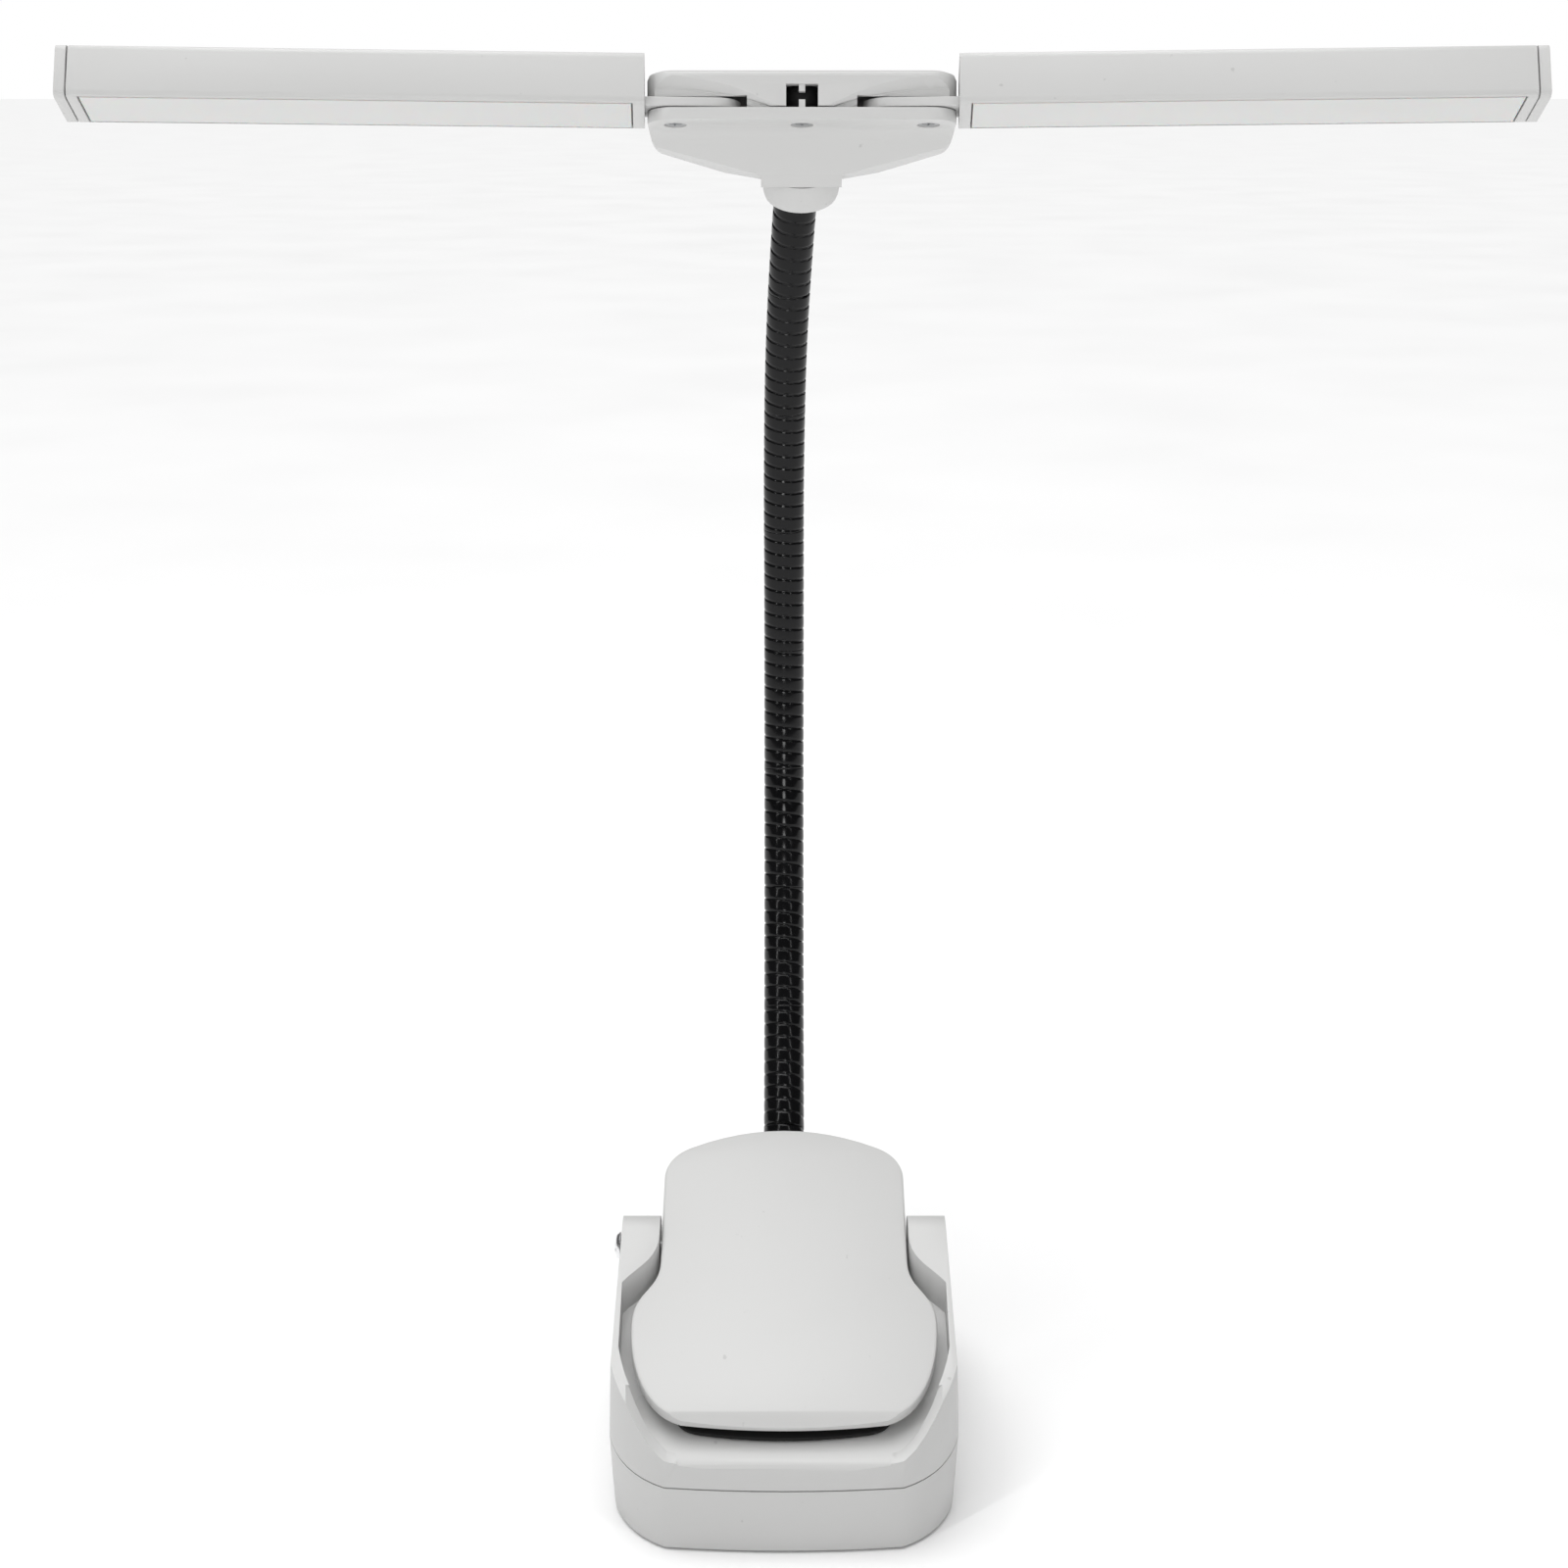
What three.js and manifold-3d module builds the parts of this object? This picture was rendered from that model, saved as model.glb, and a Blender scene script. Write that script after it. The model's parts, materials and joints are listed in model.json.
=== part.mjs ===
// Clip-on reading lamp: a battery base with a sprung jaw, a gooseneck, and two swinging light bars.
// Millimetres, +Z up, +X to the right, +Y to the back. The origin is the middle of the rest pad.

import * as THREE from 'three';
import { mergeVertices } from 'three/addons/utils/BufferGeometryUtils.js';
import Module from 'manifold-3d';

const wasm = await Module();
wasm.setup();

// ---- Driving dimensions ------------------------------------------------------------------------

const GAP = 0.3; // clearance between pieces that meet
const ROUND = 28; // sides of a round hole or boss
const FULL_TURN = 2 * Math.PI;

// Base
const BASE_WIDTH = 68;
const BASE_LENGTH = 79.2;
const SEAM_HEIGHT = 13.5; // where the top and bottom shells meet
const SHELL_WALL = 1.8;
const FRONT_BOW = 1.2; // how far the front edge bows out
const CORNER_WIDTH = 11.5; // the front corners' sweep, across
const CORNER_LENGTH = 19; // and along the sides
const CORNER_PULL = [2.5, 6]; // where the two tangents of a corner meet, in from the side and the front
const REAR_CORNER = 12;
const SIDE_DRAFT = THREE.MathUtils.degToRad(2.6); // both sides lean in above the seam
const BOTTOM_TUCK = 1.2; // and are drawn in below it
const BOTTOM_EDGE = 2;
const LEDGE_ROUND = 2.5; // front edge of the ledge under the jaw
const DECK_WALL = 2;
const DECK_HEIGHT = 26; // flat top behind the ears
const REST_PAD_THICKNESS = 1;
const REST_PAD_PROUD = 0.3;
const REST_PAD_WIDTH = 44;
const REST_PAD_LENGTH = 62;

// Clip
const CLIP_SLOPE = THREE.MathUtils.degToRad(24); // the closed jaw's slope, up towards the back
const ARM_SLOPE = THREE.MathUtils.degToRad(27); // top edge of the base's side arms
const PIVOT_SETBACK = 46; // from the front of the base
const PIVOT_HEIGHT = 40;
const PIN_RADIUS = 1.1;
const EAR_RADIUS = 6;
const EAR_THICKNESS = 9;
const JAW_SIDE_GAP = 0.4;
const ARM_WALL = 2.1; // the base's wall beside the widest part of the jaw
const RECESS_GAP = 2.1; // around the widest part of the jaw
const PLATE_TOP = 4.3; // jaw plate's outer face above the pivot axis
const PLATE_THICKNESS = 2.4;
const PLATE_FRONT = 44.6; // from the pivot axis to the front lip
const PLATE_REAR = 27;
const PLATE_FRONT_HALF = 19.4;
const PLATE_CORNER = 5.5;
const REAR_BOW = 7.5; // how far the jaw's rear edge bows out
const LIP_CHAMFER = 2.7;
const LIP_DROP = 1.5;
const JAW_RIM = 1.6;
const RIM_DEPTH = 2.9;
const PAD_THICKNESS = 1;
const LOWER_PAD_HALF = 20.8;
const LOWER_PAD_FRONT = 45.2;
const UPPER_PAD_HALF = 19;
const UPPER_PAD_FRONT = 43.8;
const PAD_CORNER = 5;
const PAD_BACK = 17;
const MOUTH_HALF = 20; // the base's opening in front of the jaw, at its floor
const MOUTH_SHOULDER = [27, 3]; // where its soft sides straighten, across and above the floor
const MOUTH_TOP = [33, 8];
const LUG_THICKNESS = 3.4;
const LUG_RADIUS = 4.3;
const SPRING_WIRE = 0.8;
const SPRING_TURNS = 7;
const SPRING_PITCH = 1.1;
const SPRING_POCKET = 12; // length of the spring's pocket under the lever
const NOTCH_HALF = 7.5; // room for the neck under the lever's rear edge
const PIVOT_HEAD_RADIUS = 2.9;
const PIVOT_HEAD_HEIGHT = 1.2;
const NUT_HEIGHT = 2.2;
const NUT_RADIUS = 2.6;

// Inside the base
const CELL_SIZE = [44, 34, 8.5];
const BOARD_THICKNESS = 1.2;
const BOARD_SIZE = [36, 16];
const BOARD_HEIGHT = 5.2;
const SWITCH_SIZE = [4.4, 3.4, 3.4];
const SOCKET_SIZE = [9, 7.3, 3.2];
const BUTTON_SIZE = [8, 4.4];
const BUTTON_PROUD = 0.9;
const BUTTON_TRAVEL = 0.8;
const CONTROL_HEIGHT = 8.4; // middle of the buttons above the table
const POWER_X = -14;
const BRIGHTNESS_X = -4;
const INDICATOR_X = 4.2;
const SOCKET_X = 12.5;
const POST_X = 27;
const POST_RADIUS = 3.1;
const POST_LOW = 7; // where a top post meets a bottom one
const CASE_SCREW_RADIUS = 1.1;
const CASE_SCREW_HEAD = 2.3;

// Gooseneck
const NECK_RADIUS = 4.5;
const NECK_LENGTH = 230.2; // from the base's boss to the collar
const NECK_START_SETBACK = 70.6; // from the front of the base
const NECK_START_HEIGHT = 31.6;
const NECK_START_LEAN = THREE.MathUtils.degToRad(-45.3); // leans back where it leaves the base
const NECK_END_LEAN = THREE.MathUtils.degToRad(28); // leans forward where it meets the hub
const NECK_DRIFT = 2.4; // sideways, over its upper part
const NECK_DRIFT_FROM = 0.725; // share of its length that stays straight
const NECK_LINKS = 8;
const NECK_STUB = 8; // fixed stretch at each end
const NECK_LINK_GAP = 0.5;
const NECK_PLUG = 10; // how deep a fixed end goes into its boss
const BOSS_RADIUS = 6.8;
const BOSS_LENGTH = 14;

// Hub
const HUB_TILT = THREE.MathUtils.degToRad(13.5); // the hub's plane, down towards the back
const HUB_SHIFT = 3.4; // the hub's middle, sideways from the base's
const PIVOT_X = 24.1; // each bar's hinge from the middle
const HUB_END_RADIUS = 5.3;
const STEM_SETBACK = 12; // where the neck's line crosses the hub's plane, behind the hinges
const STEM_LENGTH = 16.2; // from there to the collar's rim
const COLLAR_HEIGHT = 6.2;
const COLLAR_RADIUS = 7.9;
const COLLAR_RIM = 6.9; // its outer radius at the lower rim
const TONGUE_THICKNESS = 1.7;
const LOWER_THICKNESS = 2.25;
const UPPER_THICKNESS = 4.75;
const WING_REAR = 13;
const HUB_REAR = 20;
const HUB_WALL = 1.7;
const TAIL_LENGTH = 12.5; // the tongue's stop tail, inwards from the hinge
const HINGE_SCREW_RADIUS = 1.3;
const HINGE_SCREW_HEAD = 1.9;
const WINDOW_WIDTH = 6;
const WINDOW_HEIGHT = 4;
const WING_DROP = 2.8; // the lower shell's edge below its face, at the ends
const STEM_DROP = 7.2; // and beside the stem
const WASHER_RADIUS = 3.2;
const WASHER_HEIGHT = 0.7;
const RIB_WIDTH = 1.2;
const SIDE_GAP = 0.5; // between the hub's end and a bar

// Light bars
const BAR_LENGTH = 109.1;
const BAR_DEPTH = 11.6;
const BAR_HEIGHT = 10.5;
const BAR_CORNER = 1.4;
const BAR_ROLL = THREE.MathUtils.degToRad(14); // the bar's own roll in the hub's plane
const BAR_SWEEP = THREE.MathUtils.degToRad(3); // both bars stand slightly forward
const BAR_BACK = -0.42; // the bar's middle behind the hinge
const BAR_LIFT = 2.84; // the bar's middle above the hub's plane
const BAR_WALL = 1.0;
const END_CAP_LENGTH = 2;
const DIFFUSER_THICKNESS = 1.1;
const DIFFUSER_RIM = 2.5;
const LIGHT_BOARD_THICKNESS = 1.2;
const ARM_INSERT = 9; // how far the tongue goes into the bar
const TONGUE_STEP = 1.6; // its full width stops here, short of the diffuser
const TONGUE_NARROW_FROM = 1; // and its rear part goes on

// ---- Values worked out from them ---------------------------------------------------------------

const BASE_FRONT = -BASE_LENGTH / 2;
const BASE_REAR = BASE_LENGTH / 2;
const BASE_HALF = BASE_WIDTH / 2;
const PIVOT_Y = BASE_FRONT + PIVOT_SETBACK;
const EAR_INNER = BASE_HALF - EAR_THICKNESS;
const EAR_OUTER = BASE_HALF - (PIVOT_HEIGHT - SEAM_HEIGHT) * Math.tan(SIDE_DRAFT);
const PLATE_UNDER = PLATE_TOP - PLATE_THICKNESS;
const UPPER_PAD_TOP = PLATE_UNDER - GAP;
const LOWER_PAD_TOP = UPPER_PAD_TOP - PAD_THICKNESS - GAP;
const LEDGE = LOWER_PAD_TOP - PAD_THICKNESS - GAP; // plane that carries the lower pad
const WELL_FLOOR = PIVOT_HEIGHT - 18;
const FLOOR_TOP = REST_PAD_PROUD + SHELL_WALL;
const BOARD_TOP = BOARD_HEIGHT + BOARD_THICKNESS;
const POST_FRONT_Y = BASE_FRONT + 17.5;
const POST_REAR_Y = BASE_REAR - 13;

// ---- Materials ---------------------------------------------------------------------------------

const shellGrey = () => new THREE.MeshStandardMaterial({ color: 0xd9d9d7, roughness: 0.55, metalness: 0 });
const rubberBlack = () => new THREE.MeshStandardMaterial({ color: 0x151515, roughness: 0.85, metalness: 0 });
const neckBlack = () => new THREE.MeshStandardMaterial({ color: 0x1a1a1a, roughness: 0.35, metalness: 0.2 });
const chrome = () => new THREE.MeshStandardMaterial({ color: 0xd8d8d8, roughness: 0.15, metalness: 1 });
const steel = () => new THREE.MeshStandardMaterial({ color: 0xa9abad, roughness: 0.35, metalness: 1 });
const boardGreen = () => new THREE.MeshStandardMaterial({ color: 0x1f5a38, roughness: 0.6, metalness: 0 });
const boardWhite = () => new THREE.MeshStandardMaterial({ color: 0xeeeeea, roughness: 0.6, metalness: 0.2 });
const cellWrap = () => new THREE.MeshStandardMaterial({ color: 0x9fb4c8, roughness: 0.4, metalness: 0.5 });
const diffuserWhite = () => new THREE.MeshStandardMaterial({ color: 0xe4e4e2, roughness: 0.4 });
const lampWhite = () => new THREE.MeshStandardMaterial({ color: 0xf4f4f0, roughness: 0.3, metalness: 0 });

// ---- Solids ------------------------------------------------------------------------------------

// A closed geometry as a solid that can be joined and cut.
function solid(geometry) {
  const bare = geometry.index ? geometry.toNonIndexed() : geometry.clone();
  bare.deleteAttribute('normal');
  bare.deleteAttribute('uv');
  const merged = mergeVertices(bare, 1e-4);
  return new wasm.Manifold(new wasm.Mesh({
    numProp: 3,
    vertProperties: new Float32Array(merged.attributes.position.array),
    triVerts: new Uint32Array(merged.index.array),
  }));
}

// A solid as a flat-shaded geometry.
function skin(body) {
  const mesh = body.getMesh();
  const geometry = new THREE.BufferGeometry();
  geometry.setAttribute('position', new THREE.BufferAttribute(new Float32Array(mesh.vertProperties), 3));
  geometry.setIndex(new THREE.BufferAttribute(new Uint32Array(mesh.triVerts), 1));
  const facets = geometry.toNonIndexed();
  facets.computeVertexNormals();
  return facets;
}

const object = new THREE.Group();

// Adds one named piece to a group.
function piece(name, body, material, group = object) {
  const mesh = new THREE.Mesh(skin(body), material);
  mesh.name = name;
  group.add(mesh);
}

// A flat outline raised from z = low to z = high, with an optional bevel inside those heights.
function slab(shape, low, high, bevel = 0, curveSegments = 10) {
  const geometry = new THREE.ExtrudeGeometry(shape, {
    depth: high - low - 2 * bevel,
    bevelEnabled: bevel > 0,
    bevelThickness: bevel,
    bevelSize: bevel,
    bevelOffset: -bevel,
    bevelSegments: 2,
    curveSegments,
  });
  geometry.translate(0, 0, low + bevel);
  return solid(geometry);
}

// A (y, z) outline carried along X from left to right.
function sideSlab(shape, left, right, curveSegments = 10) {
  const geometry = new THREE.ExtrudeGeometry(
    shape, { depth: right - left, bevelEnabled: false, curveSegments });
  const turn = new THREE.Matrix4().makeBasis(
    new THREE.Vector3(0, 1, 0), new THREE.Vector3(0, 0, 1), new THREE.Vector3(1, 0, 0));
  geometry.applyMatrix4(turn);
  geometry.translate(left, 0, 0);
  return solid(geometry);
}

// An (x, z) outline carried along Y from front to back.
function frontSlab(shape, front, back, curveSegments = 10) {
  const geometry = new THREE.ExtrudeGeometry(
    shape, { depth: back - front, bevelEnabled: false, curveSegments });
  geometry.rotateX(Math.PI / 2);
  geometry.translate(0, back, 0);
  return solid(geometry);
}

// A box between two corners.
function box(low, high) {
  const geometry = new THREE.BoxGeometry(high[0] - low[0], high[1] - low[1], high[2] - low[2]);
  geometry.translate((low[0] + high[0]) / 2, (low[1] + high[1]) / 2, (low[2] + high[2]) / 2);
  return solid(geometry);
}

// A round rod between two points.
function rod(start, end, radius, sides = ROUND) {
  const from = new THREE.Vector3(...start);
  const to = new THREE.Vector3(...end);
  const geometry = new THREE.CylinderGeometry(radius, radius, from.distanceTo(to), sides);
  const along = to.clone().sub(from).normalize();
  geometry.applyQuaternion(new THREE.Quaternion().setFromUnitVectors(new THREE.Vector3(0, 1, 0), along));
  const middle = from.add(to).multiplyScalar(0.5);
  geometry.translate(middle.x, middle.y, middle.z);
  return solid(geometry);
}

// A turned piece: (radius, height) points about the local Z axis, starting and ending on it.
function turned(points, sides = ROUND) {
  const geometry = new THREE.LatheGeometry(points.map(([r, z]) => new THREE.Vector2(r, z)), sides);
  geometry.rotateX(Math.PI / 2);
  return solid(geometry);
}

// Stands a piece made about +Z at a point, along a direction.
function aim(body, at, direction) {
  const turn = new THREE.Quaternion().setFromUnitVectors(
    new THREE.Vector3(0, 0, 1), new THREE.Vector3(...direction).normalize());
  const place = new THREE.Matrix4().makeTranslation(...at);
  return moved(body, place.multiply(new THREE.Matrix4().makeRotationFromQuaternion(turn)));
}

// A solid after a move, turn or shear.
function moved(body, matrix) {
  return solid(skin(body).applyMatrix4(matrix));
}

// A rounded rectangle about a centre, with its own radius for the front and the rear corners.
function roundedRectangle(width, front, rear, frontCorner, rearCorner = frontCorner) {
  const half = width / 2;
  const shape = new THREE.Shape();
  shape.moveTo(-half + frontCorner, front);
  shape.lineTo(half - frontCorner, front);
  shape.absarc(half - frontCorner, front + frontCorner, frontCorner, -Math.PI / 2, 0, false);
  shape.lineTo(half, rear - rearCorner);
  shape.absarc(half - rearCorner, rear - rearCorner, rearCorner, 0, Math.PI / 2, false);
  shape.lineTo(-half + rearCorner, rear);
  shape.absarc(-half + rearCorner, rear - rearCorner, rearCorner, Math.PI / 2, Math.PI, false);
  shape.lineTo(-half, front + frontCorner);
  shape.absarc(-half + frontCorner, front + frontCorner, frontCorner, Math.PI, 1.5 * Math.PI, false);
  return shape;
}

// A closed outline through (x, y) corners.
function polygon(points) {
  return new THREE.Shape(points.map(([x, y]) => new THREE.Vector2(x, y)));
}

// A smooth outline moved in by an inset, each of its points square to its neighbours' line.
function movedIn(shape, inset, curveSegments = 8) {
  const points = shape.getPoints(curveSegments)
    .filter((p, i, all) => i === 0 || p.distanceTo(all[i - 1]) > 0.01);
  if (points[0].distanceTo(points.at(-1)) < 0.01) points.pop();
  return polygon(points.map((p, i) => {
    const along = points[(i + 1) % points.length].clone().sub(points.at(i - 1)).normalize();
    return [p.x - along.y * inset, p.y + along.x * inset];
  }));
}

// The base from above: a front edge that bows a little, long corners swept back into the sides,
// and round rear corners.
function basePlan(inset) {
  const flat = BASE_HALF - CORNER_WIDTH;
  const front = BASE_FRONT + FRONT_BOW;
  const [pullAcross, pullAlong] = CORNER_PULL;
  const shape = new THREE.Shape();
  shape.moveTo(-flat, front);
  shape.quadraticCurveTo(0, BASE_FRONT - FRONT_BOW, flat, front);
  const side = BASE_FRONT + CORNER_LENGTH;
  shape.quadraticCurveTo(BASE_HALF - pullAcross, BASE_FRONT + pullAlong, BASE_HALF, side);
  shape.lineTo(BASE_HALF, BASE_REAR - REAR_CORNER);
  shape.absarc(BASE_HALF - REAR_CORNER, BASE_REAR - REAR_CORNER, REAR_CORNER, 0, Math.PI / 2, false);
  shape.lineTo(-BASE_HALF + REAR_CORNER, BASE_REAR);
  shape.absarc(-BASE_HALF + REAR_CORNER, BASE_REAR - REAR_CORNER, REAR_CORNER, Math.PI / 2, Math.PI, false);
  shape.lineTo(-BASE_HALF, side);
  shape.quadraticCurveTo(-BASE_HALF + pullAcross, BASE_FRONT + pullAlong, -flat, front);
  return movedIn(shape, inset);
}

// The base from the front: sides that lean in above the seam and are drawn in below it.
function baseFrontOutline() {
  const top = 2 * PIVOT_HEIGHT;
  const topHalf = BASE_HALF - (top - SEAM_HEIGHT) * Math.tan(SIDE_DRAFT);
  const lowHalf = BASE_HALF - BOTTOM_TUCK;
  const shape = new THREE.Shape();
  shape.moveTo(-lowHalf + BOTTOM_EDGE, REST_PAD_PROUD);
  shape.lineTo(lowHalf - BOTTOM_EDGE, REST_PAD_PROUD);
  shape.quadraticCurveTo(lowHalf, REST_PAD_PROUD, lowHalf, REST_PAD_PROUD + BOTTOM_EDGE);
  shape.lineTo(BASE_HALF, SEAM_HEIGHT);
  shape.lineTo(topHalf, top);
  shape.lineTo(-topHalf, top);
  shape.lineTo(-BASE_HALF, SEAM_HEIGHT);
  shape.lineTo(-lowHalf, REST_PAD_PROUD + BOTTOM_EDGE);
  shape.quadraticCurveTo(-lowHalf, REST_PAD_PROUD, -lowHalf + BOTTOM_EDGE, REST_PAD_PROUD);
  return shape;
}

// ---- The jaw's frame: Y runs up the plate towards the back, Z is square to the plate -----------

const jawMatrix = new THREE.Matrix4()
  .makeTranslation(0, PIVOT_Y, PIVOT_HEIGHT)
  .multiply(new THREE.Matrix4().makeRotationX(CLIP_SLOPE));

// Outline of the jaw plate in the jaw's frame: narrow between the ears, wide over the arms, and
// drawn in to a lip at the front. The rear edge is a parabola with rounded corners.
function jawOutline({ narrow, wide, frontHalf, front, rear, corner, bow }) {
  const wideAt = -22;
  const neckAt = -7;
  const shape = new THREE.Shape();
  shape.moveTo(-frontHalf, -front + 1.2);
  shape.quadraticCurveTo(0, -front - 1.2, frontHalf, -front + 1.2);
  shape.bezierCurveTo(frontHalf + 6.5, -front + 3, wide, wideAt - 11, wide, wideAt);
  shape.bezierCurveTo(wide, wideAt + 8, narrow, neckAt - 7, narrow, neckAt);
  const flat = narrow - corner;
  const drop = bow * (flat / narrow) ** 2;
  const edge = rear - drop - (2 * drop * corner) / flat;
  shape.lineTo(narrow, edge - corner);
  shape.quadraticCurveTo(narrow, edge, flat, rear - drop);
  shape.quadraticCurveTo(0, rear + drop, -flat, rear - drop);
  shape.quadraticCurveTo(-narrow, edge, -narrow, edge - corner);
  shape.lineTo(-narrow, neckAt);
  shape.bezierCurveTo(-narrow, neckAt - 7, -wide, wideAt + 8, -wide, wideAt);
  shape.bezierCurveTo(-wide, wideAt - 11, -frontHalf - 6.5, -front + 3, -frontHalf, -front + 1.2);
  return shape;
}

const WIDE_HALF = BASE_HALF - ARM_WALL - RECESS_GAP;
const NARROW_HALF = EAR_INNER - JAW_SIDE_GAP;

const jawPlan = (inset) => jawOutline({
  narrow: NARROW_HALF - inset,
  wide: WIDE_HALF - inset,
  frontHalf: PLATE_FRONT_HALF - inset / 2,
  front: PLATE_FRONT - inset,
  rear: PLATE_REAR - inset,
  corner: PLATE_CORNER,
  bow: REAR_BOW,
});

// ---- Base: bottom shell ------------------------------------------------------------------------

const controlHoles = () => {
  const [buttonWidth, buttonHeight] = BUTTON_SIZE;
  const holes = [POWER_X, BRIGHTNESS_X].map((x) => capsuleAlongY(
    x, buttonWidth + 2 * GAP, buttonHeight + 2 * GAP, BASE_REAR - 2 * SHELL_WALL, BASE_REAR + 1));
  holes.push(rod([INDICATOR_X, BASE_REAR - 2 * SHELL_WALL, CONTROL_HEIGHT],
    [INDICATOR_X, BASE_REAR + 1, CONTROL_HEIGHT], 1.1 + GAP, 16));
  const [socketWidth, , socketHeight] = SOCKET_SIZE;
  const socketMiddle = BOARD_TOP + GAP + socketHeight / 2;
  const halfWidth = socketWidth / 2 + GAP;
  const halfHeight = socketHeight / 2 + GAP;
  holes.push(box([SOCKET_X - halfWidth, BASE_REAR - 2 * SHELL_WALL, socketMiddle - halfHeight],
    [SOCKET_X + halfWidth, BASE_REAR + 1, socketMiddle + halfHeight]));
  return holes;
};

// A flat oval of the given width and height, carried along Y at the controls' height.
function capsuleAlongY(x, width, height, front, back) {
  const end = height / 2;
  const reach = width / 2 - end;
  const shape = new THREE.Shape();
  shape.moveTo(x - reach, CONTROL_HEIGHT - end);
  shape.lineTo(x + reach, CONTROL_HEIGHT - end);
  shape.absarc(x + reach, CONTROL_HEIGHT, end, -Math.PI / 2, Math.PI / 2, false);
  shape.lineTo(x - reach, CONTROL_HEIGHT + end);
  shape.absarc(x - reach, CONTROL_HEIGHT, end, Math.PI / 2, 1.5 * Math.PI, false);
  return frontSlab(shape, front, back, 6);
}

const casePosts = [
  [-POST_X, POST_FRONT_Y], [POST_X, POST_FRONT_Y], [-POST_X, POST_REAR_Y], [POST_X, POST_REAR_Y],
];

function bottomShell() {
  let body = slab(basePlan(0), REST_PAD_PROUD, SEAM_HEIGHT - GAP / 2, 0);
  body = body.intersect(slab(basePlan(0), REST_PAD_PROUD, SEAM_HEIGHT + 6, 0.7));
  body = body.intersect(frontSlab(baseFrontOutline(), BASE_FRONT - 1, BASE_REAR + 1));
  body = body.subtract(slab(basePlan(SHELL_WALL), FLOOR_TOP, SEAM_HEIGHT + 1));
  for (const [x, y] of casePosts) {
    body = body.add(rod([x, y, REST_PAD_PROUD + 0.6], [x, y, POST_LOW - GAP], POST_RADIUS + 0.5));
  }
  const [boardWidth] = BOARD_SIZE;
  for (const x of [-boardWidth / 3, boardWidth / 3]) {
    const foot = [x, BASE_REAR - 12, FLOOR_TOP - 0.5];
    body = body.add(rod(foot, [x, BASE_REAR - 12, BOARD_HEIGHT - GAP], 2, 16));
  }
  for (const [x, y] of casePosts) {
    body = body.subtract(rod([x, y, -1], [x, y, POST_LOW], CASE_SCREW_RADIUS + GAP, 16));
    body = body.subtract(rod([x, y, -1], [x, y, REST_PAD_PROUD + 2.4], CASE_SCREW_HEAD + GAP, 20));
  }
  body = body.subtract(slab(restPadPlan(GAP), -1, REST_PAD_THICKNESS + GAP));
  for (const hole of controlHoles()) {
    body = body.subtract(hole);
  }
  return body;
}

function restPadPlan(grow) {
  const half = REST_PAD_LENGTH / 2 + grow;
  return roundedRectangle(REST_PAD_WIDTH + 2 * grow, -half, half, 6 + grow);
}

// ---- Base: top shell with its ears, recess and neck boss ---------------------------------------

const neckStart = new THREE.Vector3(0, BASE_FRONT + NECK_START_SETBACK, NECK_START_HEIGHT);
const neckStartDirection = new THREE.Vector3(0, -Math.sin(NECK_START_LEAN), Math.cos(NECK_START_LEAN));

// Height of a plane parallel to the closed jaw, at a distance above the pivot axis.
function slopeHeight(y, above) {
  return PIVOT_HEIGHT + (y - PIVOT_Y) * Math.tan(CLIP_SLOPE) + above / Math.cos(CLIP_SLOPE);
}

function baseSideOutline() {
  const tangentY = PIVOT_Y - EAR_RADIUS * Math.sin(ARM_SLOPE);
  const tangentZ = PIVOT_HEIGHT + EAR_RADIUS * Math.cos(ARM_SLOPE);
  const nose = tangentZ - (tangentY - BASE_FRONT) * Math.tan(ARM_SLOPE);
  const noseRound = 6;
  const shape = new THREE.Shape();
  shape.moveTo(BASE_FRONT, SEAM_HEIGHT + GAP / 2);
  shape.lineTo(BASE_REAR, SEAM_HEIGHT + GAP / 2);
  shape.lineTo(BASE_REAR, DECK_HEIGHT - 5);
  shape.quadraticCurveTo(BASE_REAR, DECK_HEIGHT, BASE_REAR - 5, DECK_HEIGHT);
  shape.lineTo(PIVOT_Y + EAR_RADIUS + 4, DECK_HEIGHT);
  shape.quadraticCurveTo(PIVOT_Y + EAR_RADIUS, DECK_HEIGHT, PIVOT_Y + EAR_RADIUS, DECK_HEIGHT + 4);
  shape.lineTo(PIVOT_Y + EAR_RADIUS, PIVOT_HEIGHT);
  shape.absarc(PIVOT_Y, PIVOT_HEIGHT, EAR_RADIUS, 0, Math.PI / 2 + ARM_SLOPE, false);
  shape.lineTo(BASE_FRONT + noseRound * Math.cos(ARM_SLOPE), nose + noseRound * Math.sin(ARM_SLOPE));
  shape.quadraticCurveTo(BASE_FRONT, nose, BASE_FRONT, nose - noseRound);
  return shape;
}

function baseCavity() {
  const roof = LEDGE - 2;
  const drop = PIVOT_Y - PAD_BACK + 2;
  const front = BASE_FRONT + SHELL_WALL;
  const rear = BASE_REAR - SHELL_WALL;
  const outline = polygon([
    [front, SEAM_HEIGHT - 1], [rear, SEAM_HEIGHT - 1], [rear, DECK_HEIGHT - 5],
    [rear - 4, DECK_HEIGHT - DECK_WALL],
    [PIVOT_Y + 13, DECK_HEIGHT - DECK_WALL], [PIVOT_Y + 11, WELL_FLOOR - 2], [drop, WELL_FLOOR - 2],
    [drop, slopeHeight(drop, roof)], [front, slopeHeight(front, roof)],
  ]);
  return sideSlab(outline, -BASE_HALF, BASE_HALF).intersect(slab(basePlan(SHELL_WALL), 0, 2 * PIVOT_HEIGHT));
}

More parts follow.
